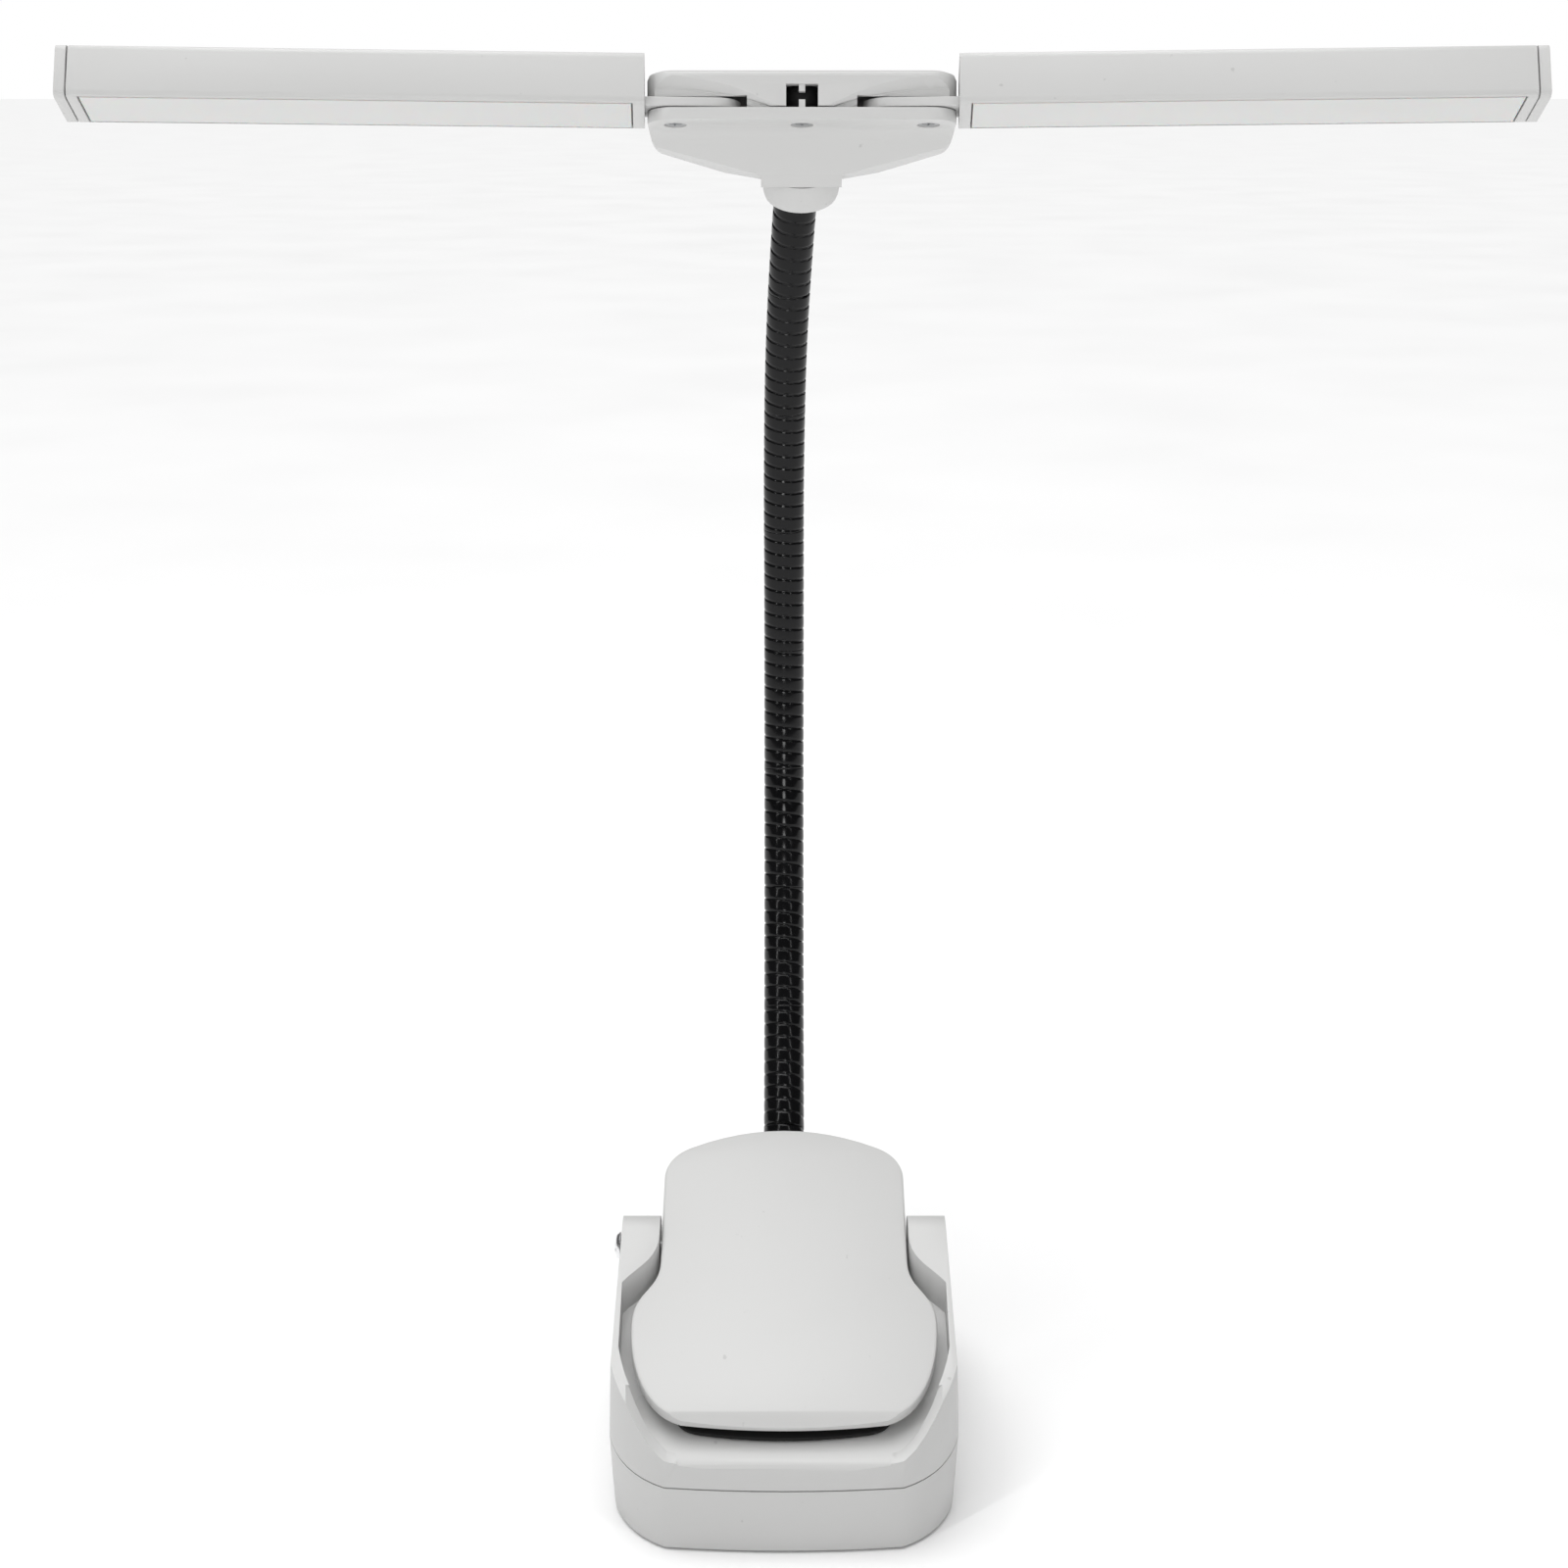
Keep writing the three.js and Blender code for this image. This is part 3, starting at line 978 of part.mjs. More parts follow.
// The wall above each arch leans in below a crease that runs down towards the middle.
function frontCrease(side) {
  const lean = 1.5;
  const front = -HUB_END_RADIUS;
  const inner = WINDOW_WIDTH / 2 + 1.4;
  const outer = HUB_HALF + 2;
  const high = SLOT_HALF + 3.5;
  const shape = new THREE.Shape();
  shape.moveTo(side * inner, HUB_SEAM);
  shape.quadraticCurveTo(side * (inner + 10), high - 0.4, side * (outer - 7), high);
  shape.lineTo(side * outer, high);
  shape.lineTo(side * outer, HUB_SEAM - 3);
  shape.lineTo(side * inner, HUB_SEAM - 3);
  const geometry = new THREE.ExtrudeGeometry(shape, { depth: 2, bevelEnabled: false, curveSegments: 8 });
  geometry.rotateX(Math.PI / 2);
  geometry.translate(0, front + 1.5, 0);
  const shear = new THREE.Matrix4().set(1, 0, 0, 0, 0, 1, 0, 0, 0, -lean, 1, lean * front, 0, 0, 0, 1);
  return solid(geometry.applyMatrix4(shear));
}

function hubUpperShell() {
  const low = HUB_SEAM + GAP;
  let body = slab(hubPlan(0), low - 4, UPPER_FACE, 1.2, 8)
    .intersect(slab(hubPlan(0), low, UPPER_FACE, 0, 8));
  const roof = polygon([
    [-HUB_END_RADIUS - 1, low - 1], [HUB_REAR + 1, low - 1], [HUB_REAR + 1, low + 1.5],
    [HUB_REAR * 0.55, UPPER_FACE], [-HUB_END_RADIUS - 1, UPPER_FACE],
  ]);
  body = body.intersect(sideSlab(roof, -HUB_HALF - 1, HUB_HALF + 1));
  const inside = polygon([
    [-HUB_END_RADIUS + HUB_WALL, low - 1], [HUB_REAR - HUB_WALL, low - 1],
    [HUB_REAR - HUB_WALL - 1, low + 0.6],
    [HUB_REAR * 0.55 - HUB_WALL, UPPER_FACE - HUB_WALL], [-HUB_END_RADIUS + HUB_WALL, UPPER_FACE - HUB_WALL],
  ]);
  const hollow = slab(hubPlan(HUB_WALL), low - 1, UPPER_FACE, 0, 8)
    .intersect(sideSlab(inside, -PIVOT_X + 9, PIVOT_X - 9));
  body = body.subtract(hollow);
  for (const side of [-1, 1]) {
    body = body.subtract(tongueSlot(side));
    body = body.subtract(frontArch(side));
    body = body.subtract(frontCrease(side));
    body = body.subtract(rod([side * PIVOT_X, 0, 0], [side * PIVOT_X, 0, SLOT_HALF + WASHER_HEIGHT + GAP],
      WASHER_RADIUS + GAP, 20));
  }
  body = body.add(rod([0, 0, low], [0, 0, UPPER_FACE - 0.5], 3, 20));
  for (const x of [-PIVOT_X, 0, PIVOT_X]) {
    body = body.subtract(rod([x, 0, low - 2], [x, 0, UPPER_FACE - 1.4], HINGE_SCREW_RADIUS + GAP, 16));
  }
  const windowLow = HUB_SEAM - 1;
  const windowTop = low + WINDOW_HEIGHT;
  body = body.subtract(box([-WINDOW_WIDTH / 2, -HUB_END_RADIUS - 1, windowLow],
    [WINDOW_WIDTH / 2, -HUB_END_RADIUS + HUB_WALL + 0.2, windowTop]));
  return body.add(box([-RIB_WIDTH / 2, -HUB_END_RADIUS + 0.4, windowTop - 1.3],
    [RIB_WIDTH / 2, -HUB_END_RADIUS + 1.6, windowTop + 0.5]));
}

function hingeScrew(x) {
  const length = UPPER_FACE - 1.4 - GAP - LOWER_FACE - 0.2;
  const profile = [
    [0, 0], [HINGE_SCREW_HEAD, 0], [HINGE_SCREW_HEAD, 0.4], [HINGE_SCREW_RADIUS, 0.8],
    [HINGE_SCREW_RADIUS, length], [0, length],
  ];
  let body = turned(profile, 18);
  body = body.subtract(box([-0.25, -1.2, -1], [0.25, 1.2, 0.3]));
  body = body.subtract(box([-1.2, -0.25, -1], [1.2, 0.25, 0.3]));
  return moved(body, new THREE.Matrix4().makeTranslation(x, 0, LOWER_FACE + 0.2));
}

function hingeWasher(x) {
  const low = SLOT_HALF;
  const ring = rod([x, 0, low], [x, 0, low + WASHER_HEIGHT], WASHER_RADIUS, 20);
  return ring.subtract(rod([x, 0, low - 1], [x, 0, low + 2], HINGE_SCREW_RADIUS + GAP, 16));
}

// Rounded nut that closes the stem around the neck.
function collar() {
  const bottom = COLLAR_RIM;
  const h = COLLAR_HEIGHT - GAP / 2;
  const profile = [[0, 0], [COLLAR_RADIUS, 0]];
  const arcSteps = 6;
  for (let i = 1; i <= arcSteps; i += 1) {
    const a = (i / arcSteps) * (Math.PI / 2);
    profile.push([bottom + (COLLAR_RADIUS - bottom) * Math.cos(a), h * Math.sin(a)]);
  }
  profile.push([0, h]);
  const bore = rod(onHead(COLLAR_HEIGHT + 3), onHead(-2), NECK_RADIUS + GAP);
  return aim(turned(profile, 36), onStem(seamOnStem + GAP / 2), stemDown).subtract(bore);
}

piece('hub_lower_shell', hubLowerShell(), shellGrey(), hub);
piece('hub_upper_shell', hubUpperShell(), shellGrey(), hub);
piece('hub_collar', collar(), shellGrey(), hub);
['left', 'middle', 'right'].forEach((name, i) => {
  piece(`hub_screw_${name}`, hingeScrew((i - 1) * PIVOT_X), steel(), hub);
});
piece('hinge_washer_left', hingeWasher(-PIVOT_X), steel(), hub);
piece('hinge_washer_right', hingeWasher(PIVOT_X), steel(), hub);

// The neck's fixed top end, through the collar into the stem.
const headEnd = neckEnd.clone().addScaledVector(headDirection, NECK_PLUG);
piece('neck_head', neckStretch(neckJoint(NECK_LINKS), headEnd, true, false), neckBlack());

// ---- Light bars: X outwards from the hinge, in the hub's frame ---------------------------------

const BAR_START = HUB_END_RADIUS + SIDE_GAP;

// The bar's own frame: rolled about its length, middle at the bar's axis.
function barMatrix() {
  return new THREE.Matrix4()
    .makeTranslation(0, BAR_BACK, BAR_LIFT)
    .multiply(new THREE.Matrix4().makeRotationX(-BAR_ROLL));
}

// A stretch of the bar's section, shrunk all round by an inset.
function barStretch(side, from, to, inset, low = -BAR_HEIGHT / 2 + inset, high = BAR_HEIGHT / 2 - inset) {
  const half = BAR_DEPTH / 2 - inset;
  const corner = Math.max(0.2, BAR_CORNER - inset);
  const shape = new THREE.Shape();
  shape.moveTo(-half + corner, low);
  shape.lineTo(half - corner, low);
  shape.quadraticCurveTo(half, low, half, low + corner);
  shape.lineTo(half, high - corner);
  shape.quadraticCurveTo(half, high, half - corner, high);
  shape.lineTo(-half + corner, high);
  shape.quadraticCurveTo(-half, high, -half, high - corner);
  shape.lineTo(-half, low + corner);
  shape.quadraticCurveTo(-half, low, -half + corner, low);
  return sideSlab(shape, Math.min(side * from, side * to), Math.max(side * from, side * to), 4);
}

// Tongue in the hub's slot, with its stop tail, and a root that goes into the bar.
function hingeTongue(side) {
  const half = HUB_END_RADIUS - 0.3;
  const shape = new THREE.Shape();
  shape.moveTo(-TAIL_LENGTH + half, -half);
  shape.lineTo(BAR_START + TONGUE_STEP, -half);
  shape.lineTo(BAR_START + TONGUE_STEP, TONGUE_NARROW_FROM);
  shape.lineTo(BAR_START + ARM_INSERT, TONGUE_NARROW_FROM);
  shape.lineTo(BAR_START + ARM_INSERT, half);
  shape.lineTo(-TAIL_LENGTH + half, half);
  shape.absarc(-TAIL_LENGTH + half, 0, half, Math.PI / 2, 1.5 * Math.PI, false);
  const points = shape.getPoints(10).map((p) => [side * p.x, p.y]);
  const body = slab(polygon(points), -TONGUE_THICKNESS / 2, TONGUE_THICKNESS / 2);
  return body.subtract(rod([0, 0, -5], [0, 0, 5], HINGE_SCREW_RADIUS + GAP, 20));
}

function tongueRootPocket(side) {
  const half = HUB_END_RADIUS;
  const thick = TONGUE_THICKNESS / 2 + GAP;
  const start = side * (BAR_START - 1);
  const step = side * (BAR_START + TONGUE_STEP + GAP);
  const end = side * (BAR_START + ARM_INSERT + GAP);
  const wide = box([Math.min(start, step), -half, -thick], [Math.max(start, step), half, thick]);
  const narrowLow = [Math.min(start, end), TONGUE_NARROW_FROM - GAP, -thick];
  return wide.add(box(narrowLow, [Math.max(start, end), half, thick]));
}

function barHousing(side) {
  const end = BAR_START + BAR_LENGTH - END_CAP_LENGTH;
  const floor = -BAR_HEIGHT / 2;
  let body = barStretch(side, BAR_START, end - GAP, 0);
  const room = barStretch(side, BAR_START + ARM_INSERT + 2, end + 1, BAR_WALL);
  body = body.subtract(room);
  const seat = DIFFUSER_RIM - GAP;
  body = body.subtract(diffuserBlock(side, seat, floor - 1, floor + DIFFUSER_THICKNESS + GAP + 0.1, GAP));
  body = moved(body, barMatrix());
  return body.subtract(tongueRootPocket(side));
}

// The diffuser's plate, or with a larger grow the seat cut for it.
function diffuserBlock(side, rim, low, high, grow) {
  const half = BAR_DEPTH / 2 - BAR_WALL + grow;
  const from = side * (BAR_START + rim);
  const to = side * (BAR_START + BAR_LENGTH - END_CAP_LENGTH - DIFFUSER_RIM + grow);
  return box([Math.min(from, to), -half, low], [Math.max(from, to), half, high]);
}

function barDiffuser(side) {
  const floor = -BAR_HEIGHT / 2;
  const plate = diffuserBlock(side, DIFFUSER_RIM, floor + 0.1, floor + DIFFUSER_THICKNESS, 0);
  return moved(plate, barMatrix());
}

function barLightBoard(side) {
  const low = -BAR_HEIGHT / 2 + DIFFUSER_THICKNESS + 2.4;
  const half = BAR_DEPTH / 2 - BAR_WALL - GAP;
  const from = side * (BAR_START + ARM_INSERT + 3);
  const to = side * (BAR_START + BAR_LENGTH - END_CAP_LENGTH - 4);
  let body = box([Math.min(from, to), -half, low], [Math.max(from, to), half, low + LIGHT_BOARD_THICKNESS]);
  const lamps = 7;
  for (let i = 0; i < lamps; i += 1) {
    const x = from + ((i + 0.5) / lamps) * (to - from);
    body = body.add(box([x - 1.4, -1.4, low - 0.8], [x + 1.4, 1.4, low + 0.2]));
  }
  return moved(body, barMatrix());
}

function barEndCap(side) {
  const end = BAR_START + BAR_LENGTH;
  let body = barStretch(side, end - END_CAP_LENGTH, end, 0);
  body = body.add(barStretch(side, end - END_CAP_LENGTH - 3, end - 1, BAR_WALL + GAP,
    -BAR_HEIGHT / 2 + DIFFUSER_THICKNESS + GAP + 0.6));
  const from = Math.min(side * (end - 6), side * (end - 1.2));
  const to = Math.max(side * (end - 6), side * (end - 1.2));
  const hollowHalf = BAR_DEPTH / 2 - 2.6;
  const hollow = box([from, -hollowHalf, -BAR_HEIGHT / 2 + 3.6], [to, hollowHalf, BAR_HEIGHT / 2 - 2.6]);
  body = body.subtract(hollow);
  return moved(body, barMatrix());
}

for (const [name, side] of [['left', -1], ['right', 1]]) {
  const bar = new THREE.Group();
  bar.position.set(side * PIVOT_X, 0, 0);
  bar.rotation.z = -side * BAR_SWEEP;
  hub.add(bar);
  piece(`hinge_tongue_${name}`, hingeTongue(side), shellGrey(), bar);
  piece(`bar_housing_${name}`, barHousing(side), shellGrey(), bar);
  piece(`bar_end_cap_${name}`, barEndCap(side), shellGrey(), bar);
  piece(`bar_diffuser_${name}`, barDiffuser(side), diffuserWhite(), bar);
  piece(`bar_light_board_${name}`, barLightBoard(side), boardWhite(), bar);
}

export default object;
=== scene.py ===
"""Clip-on reading lamp: the finished surfaces, finishes, stage and camera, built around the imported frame.

Every length is in metres unless a name says mm. The frame is +Z up, +X to the right, +Y to the back.
"""

import json
import math

import bmesh
import bpy
import numpy as np
from bpy.props import FloatProperty, FloatVectorProperty, IntProperty, PointerProperty
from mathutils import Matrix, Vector

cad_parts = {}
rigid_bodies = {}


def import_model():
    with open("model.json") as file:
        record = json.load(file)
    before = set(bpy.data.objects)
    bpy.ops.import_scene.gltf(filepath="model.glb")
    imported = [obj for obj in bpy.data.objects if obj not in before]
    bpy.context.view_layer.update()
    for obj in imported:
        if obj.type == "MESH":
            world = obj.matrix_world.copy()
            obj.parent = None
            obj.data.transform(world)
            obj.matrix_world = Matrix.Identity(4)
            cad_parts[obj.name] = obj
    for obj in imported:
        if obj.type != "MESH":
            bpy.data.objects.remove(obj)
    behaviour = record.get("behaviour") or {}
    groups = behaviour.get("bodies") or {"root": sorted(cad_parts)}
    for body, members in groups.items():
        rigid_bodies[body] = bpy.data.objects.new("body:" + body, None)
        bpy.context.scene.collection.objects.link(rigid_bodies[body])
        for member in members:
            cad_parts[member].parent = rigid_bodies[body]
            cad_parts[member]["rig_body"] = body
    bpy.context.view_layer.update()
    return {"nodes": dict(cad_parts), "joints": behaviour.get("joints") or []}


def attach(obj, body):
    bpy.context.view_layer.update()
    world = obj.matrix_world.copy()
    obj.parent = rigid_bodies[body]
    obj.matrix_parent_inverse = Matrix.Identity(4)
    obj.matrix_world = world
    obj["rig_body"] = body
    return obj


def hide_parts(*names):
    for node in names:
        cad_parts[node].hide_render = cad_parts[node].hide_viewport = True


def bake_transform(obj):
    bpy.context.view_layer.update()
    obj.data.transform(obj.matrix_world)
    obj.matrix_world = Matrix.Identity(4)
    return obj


bl_info = {
    "name": "Clip-on reading lamp",
    "version": (1, 0, 0),
    "blender": (4, 5, 0),
    "location": "View3D > Sidebar > Lamp",
    "description": "Builds a clip-on reading lamp with a gooseneck and two light bars",
    "category": "Object",
}

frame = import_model()
MM = 0.001
SIDES = ("left", "right")
MERGE_WITHIN = 0.002 * MM  # points of a CAD mesh this close together are one point
FLAT_WITHIN = math.radians(0.6)  # faces that differ by less are one flat face
ROUNDED_FROM = math.radians(28)  # edges sharper than this are rounded
SUBSURFACE_REACH = 2 * MM
SCUFFS_PER_METRE = 420
SCUFFED = (0.745, 0.78)  # noise levels between which a scuff fades in
SCUFF_SHADE = 0.45
GROOVE_FROM = 0.84  # a turn's middle is at 0 and its edges are at 1
GROOVE_POWER = 1.1
BEND_BEFORE = 14 * MM  # reach ahead of a joint for end points that the gooseneck step works out; the neck is not bent with them
BEND_AFTER_LAST = 8 * MM  # reach past the neck's last joint for the same end points
SEAL_RADII = (3.05 * MM, 3.3 * MM)  # inner and outer radius of the dark sleeve in the hub
SEAL_HEIGHTS = (-0.6 * MM, 3.3 * MM)  # its ends, above the plane that the bars swing in
SEAL_SIDES = 48
FLOOR_REACH = 30.0
SENSOR_WIDTH = 36  # in mm, as Blender takes it
NEAR_CLIP = 0.01
LAMP_MIDDLE = (0, 0.03, 0.14)
HUB_MIDDLE = (0, 0.03, 0.262)
SUN_HEADING = (0.12, -0.1, -1.0)
SUN_SPREAD = math.radians(50)
STRIP_AT = (0.72, -0.66, 0.95)  # the right strip; the left one is its mirror image
STRIP_SIZE = (0.028, 1.2)
RIGHT_STRIP_SHARE = 0.6
SPOT_AT = (0, -1.3, 0.5)
SPOT_CONE = math.radians(17)


# ---- Settings ----------------------------------------------------------------------------------


class LampShellSettings(bpy.types.PropertyGroup):
    """Sizes and colours of the moulded shells, pads and bars."""

    colour: FloatVectorProperty(
        name="Shell colour", description="Colour of the moulded shells",
        subtype="COLOR", size=3, min=0, max=1, default=(0.585, 0.585, 0.579))
    edge: FloatProperty(
        name="Shell edge", description="Radius of the softened edges of the base and jaw",
        subtype="DISTANCE", unit="LENGTH", min=0, default=0.45 * MM)
    fine_edge: FloatProperty(
        name="Fine edge", description="Radius of the softened edges of the hub and the bars",
        subtype="DISTANCE", unit="LENGTH", min=0, default=0.3 * MM)
    grain: FloatProperty(
        name="Grain", description="Height of the moulded plastic's fine texture",
        subtype="DISTANCE", unit="LENGTH", min=0, default=0.012 * MM)
    diffuser: FloatVectorProperty(
        name="Diffuser colour", description="Colour of the opal diffusers",
        subtype="COLOR", size=3, min=0, max=1, default=(0.64, 0.64, 0.632))
    rubber: FloatVectorProperty(
        name="Rubber colour", description="Colour of the pads and buttons",
        subtype="COLOR", size=3, min=0, max=1, default=(0.008, 0.008, 0.008))


class LampNeckSettings(bpy.types.PropertyGroup):
    """Sizes and colour of the wound gooseneck."""

    radius: FloatProperty(
        name="Radius", description="Outer radius of the wound strip",
        subtype="DISTANCE", unit="LENGTH", min=0, default=4.38 * MM)
    pitch: FloatProperty(
        name="Pitch", description="Distance between one turn of the strip and the next",
        subtype="DISTANCE", unit="LENGTH", min=0.5 * MM, default=2.8 * MM)
    groove: FloatProperty(
        name="Groove", description="Depth of the groove between two turns",
        subtype="DISTANCE", unit="LENGTH", min=0, default=0.38 * MM)
    crown: FloatProperty(
        name="Crown", description="How far each turn bulges between its grooves",
        subtype="DISTANCE", unit="LENGTH", min=0, default=0.05 * MM)
    around: IntProperty(
        name="Sides", description="Number of points around the neck", min=12, default=48)
    per_turn: IntProperty(
        name="Rows per turn", description="Number of rows of points along each turn", min=8, default=12)
    colour: FloatVectorProperty(
        name="Neck colour", description="Colour of the wound strip",
        subtype="COLOR", size=3, min=0, max=1, default=(0.0035, 0.0035, 0.004))


class LampStageSettings(bpy.types.PropertyGroup):
    """Camera, floor and light."""

    camera_at: FloatVectorProperty(
        name="Camera", description="Place of the camera", subtype="TRANSLATION", unit="LENGTH",
        size=3, default=(0, -0.4146, 0.2666))
    pitch: FloatProperty(
        name="Camera pitch", description="How far the camera looks down",
        subtype="ANGLE", unit="ROTATION", default=math.radians(17))
    lens: FloatProperty(name="Lens", description="Focal length in millimetres", min=1, default=53.1)
    floor: FloatVectorProperty(
        name="Floor colour", description="Colour of the floor",
        subtype="COLOR", size=3, min=0, max=1, default=(0.94, 0.94, 0.94))
    sky: FloatProperty(
        name="Sky light", description="Strength of the light from all round", min=0, default=0.35)
    sheen: FloatProperty(
        name="Sky sheen", description="How bright the sky is in reflections", min=0, default=0.09)
    key: FloatProperty(name="Key light", description="Strength of the broad high light", min=0, default=2.2)
    side: FloatProperty(
        name="Side light", description="Power of each tall side light", unit="POWER", min=0, default=2.6)
    front: FloatProperty(
        name="Front light", description="Power of the light on the hub and bars",
        unit="POWER", min=0, default=21)


# ---- Finishes ----------------------------------------------------------------------------------


def shade(colour, factor):
    """A colour made lighter or darker by a factor."""
    return tuple(min(1.0, c * factor) for c in colour) + (1.0,)


def finish_of(name, colour, roughness, mottle=0.03, mottle_size=0.03, grain=0.0, grain_size=0.0006,
              metallic=0.0, specular=0.5, subsurface=0.0, specks=0.0):
    """A surface whose colour and roughness drift with soft noise, with a fine grain raised on it.

    mottle is the share by which the colour drifts, mottle_size and grain_size are the sizes of the
    two patterns, grain is the height of the fine one, and specks is the darkness of rare small scuffs.
    """
    material = bpy.data.materials.new(name)
    material.use_nodes = True
    nodes, links = material.node_tree.nodes, material.node_tree.links
    shader = nodes["Principled BSDF"]
    shader.inputs["Metallic"].default_value = metallic
    shader.inputs["Specular IOR Level"].default_value = specular
    shader.inputs["Subsurface Weight"].default_value = subsurface
    shader.inputs["Subsurface Scale"].default_value = SUBSURFACE_REACH
    place = nodes.new("ShaderNodeTexCoord")
    drift = nodes.new("ShaderNodeTexNoise")
    drift.inputs["Scale"].default_value = 1 / mottle_size
    drift.inputs["Detail"].default_value = 4
    links.new(place.outputs["Object"], drift.inputs["Vector"])
    ramp = nodes.new("ShaderNodeValToRGB")
    ramp.color_ramp.elements[0].position = 0.35
    ramp.color_ramp.elements[1].position = 0.65
    ramp.color_ramp.elements[0].color = shade(colour, 1 - mottle)
    ramp.color_ramp.elements[1].color = shade(colour, 1 + mottle)
    links.new(drift.outputs["Fac"], ramp.inputs["Fac"])
    tint = ramp.outputs["Color"]
    if specks:
        scuff = nodes.new("ShaderNodeTexNoise")
        scuff.inputs["Scale"].default_value = SCUFFS_PER_METRE
        scuff.inputs["Detail"].default_value = 2
        links.new(place.outputs["Object"], scuff.inputs["Vector"])
        rare = nodes.new("ShaderNodeMapRange")
        rare.inputs["From Min"].default_value = SCUFFED[0]
        rare.inputs["From Max"].default_value = SCUFFED[1]
        rare.inputs["To Max"].default_value = specks
        links.new(scuff.outputs["Fac"], rare.inputs["Value"])
        mixed = nodes.new("ShaderNodeMix")
        mixed.data_type = "RGBA"
        mixed.inputs["B"].default_value = shade(colour, SCUFF_SHADE)
        links.new(rare.outputs["Result"], mixed.inputs["Factor"])
        links.new(tint, mixed.inputs["A"])
        tint = mixed.outputs["Result"]
    links.new(tint, shader.inputs["Base Color"])
    gloss = nodes.new("ShaderNodeMapRange")
    gloss.inputs["From Min"].default_value = 0.3
    gloss.inputs["From Max"].default_value = 0.7
    gloss.inputs["To Min"].default_value = roughness * 0.88
    gloss.inputs["To Max"].default_value = min(1.0, roughness * 1.12)
    links.new(drift.outputs["Fac"], gloss.inputs["Value"])
    links.new(gloss.outputs["Result"], shader.inputs["Roughness"])
    if grain:
        fine = nodes.new("ShaderNodeTexNoise")
        fine.inputs["Scale"].default_value = 1 / grain_size
        fine.inputs["Detail"].default_value = 3
        links.new(place.outputs["Object"], fine.inputs["Vector"])
        bump = nodes.new("ShaderNodeBump")
        bump.inputs["Strength"].default_value = 0.6
        bump.inputs["Distance"].default_value = grain
        links.new(fine.outputs["Fac"], bump.inputs["Height"])
        links.new(bump.outputs["Normal"], shader.inputs["Normal"])
    return material


def turned_finish(name, colour, roughness, rings):
    """A turned or rolled metal: the noise is stretched into fine lines, rings to the metre."""
    material = finish_of(name, colour, roughness, mottle=0.06, mottle_size=0.004, metallic=1.0)
    nodes, links = material.node_tree.nodes, material.node_tree.links
    lines = nodes.new("ShaderNodeTexWave")
    lines.wave_type = "RINGS"
    lines.inputs["Scale"].default_value = rings
    lines.inputs["Distortion"].default_value = 3
    lines.inputs["Detail"].default_value = 2
    links.new(nodes["Texture Coordinate"].outputs["Object"], lines.inputs["Vector"])
    bump = nodes.new("ShaderNodeBump")
    bump.inputs["Strength"].default_value = 0.25
    bump.inputs["Distance"].default_value = 0.01 * MM
    links.new(lines.outputs["Fac"], bump.inputs["Height"])
    links.new(bump.outputs["Normal"], nodes["Principled BSDF"].inputs["Normal"])
    return material


FINISHES = {}


def finish_named(name, make):
    """The finish of that name, made the first time that it is asked for."""
    if name not in FINISHES:
        FINISHES[name] = make(name)
    return FINISHES[name]


def shell_plastic():
    s = bpy.context.scene.lamp_shell
    return finish_named("light_grey_plastic", lambda n: finish_of(
        n, s.colour, 0.42, mottle=0.008, mottle_size=0.05, grain=s.grain, grain_size=0.45 * MM, specks=0.3))


def pad_rubber():
    s = bpy.context.scene.lamp_shell
    return finish_named("black_rubber", lambda n: finish_of(
        n, s.rubber, 0.75, mottle=0.15, mottle_size=0.006, grain=0.03 * MM, grain_size=0.35 * MM,
        specular=0.3))


def neck_strip():
    s = bpy.context.scene.lamp_neck
    return finish_named("black_gooseneck", lambda n: finish_of(
        n, s.colour, 0.16, mottle=0.18, mottle_size=0.012, grain=0.003 * MM, grain_size=0.5 * MM,
        specular=0.25))


def opal_diffuser():
    s = bpy.context.scene.lamp_shell
    return finish_named("white_diffuser", lambda n: finish_of(
        n, s.diffuser, 0.35, mottle=0.006, mottle_size=0.02, grain=0.008 * MM, grain_size=0.3 * MM,
        subsurface=0.3))


def screw_steel():
    return finish_named("steel", lambda n: turned_finish(n, (0.5, 0.51, 0.52), 0.33, 900))


def bright_chrome():
    return finish_named("bright_screw", lambda n: turned_finish(n, (0.86, 0.86, 0.87), 0.3, 1300))


# ---- Meshes ------------------------------------------------------------------------------------


def new_piece(name, vertices, faces, material, body=None):
    """A smooth-shaded piece from arrays of points and faces, riding on a body if one is named."""
    mesh = bpy.data.meshes.new(name)
    mesh.from_pydata(vertices, [], faces)
    mesh.validate()
    mesh.shade_smooth()
    mesh.materials.append(material)
    piece = bpy.data.objects.new(name, mesh)
    bpy.context.scene.collection.objects.link(piece)
    if body:
        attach(piece, body)
    return piece


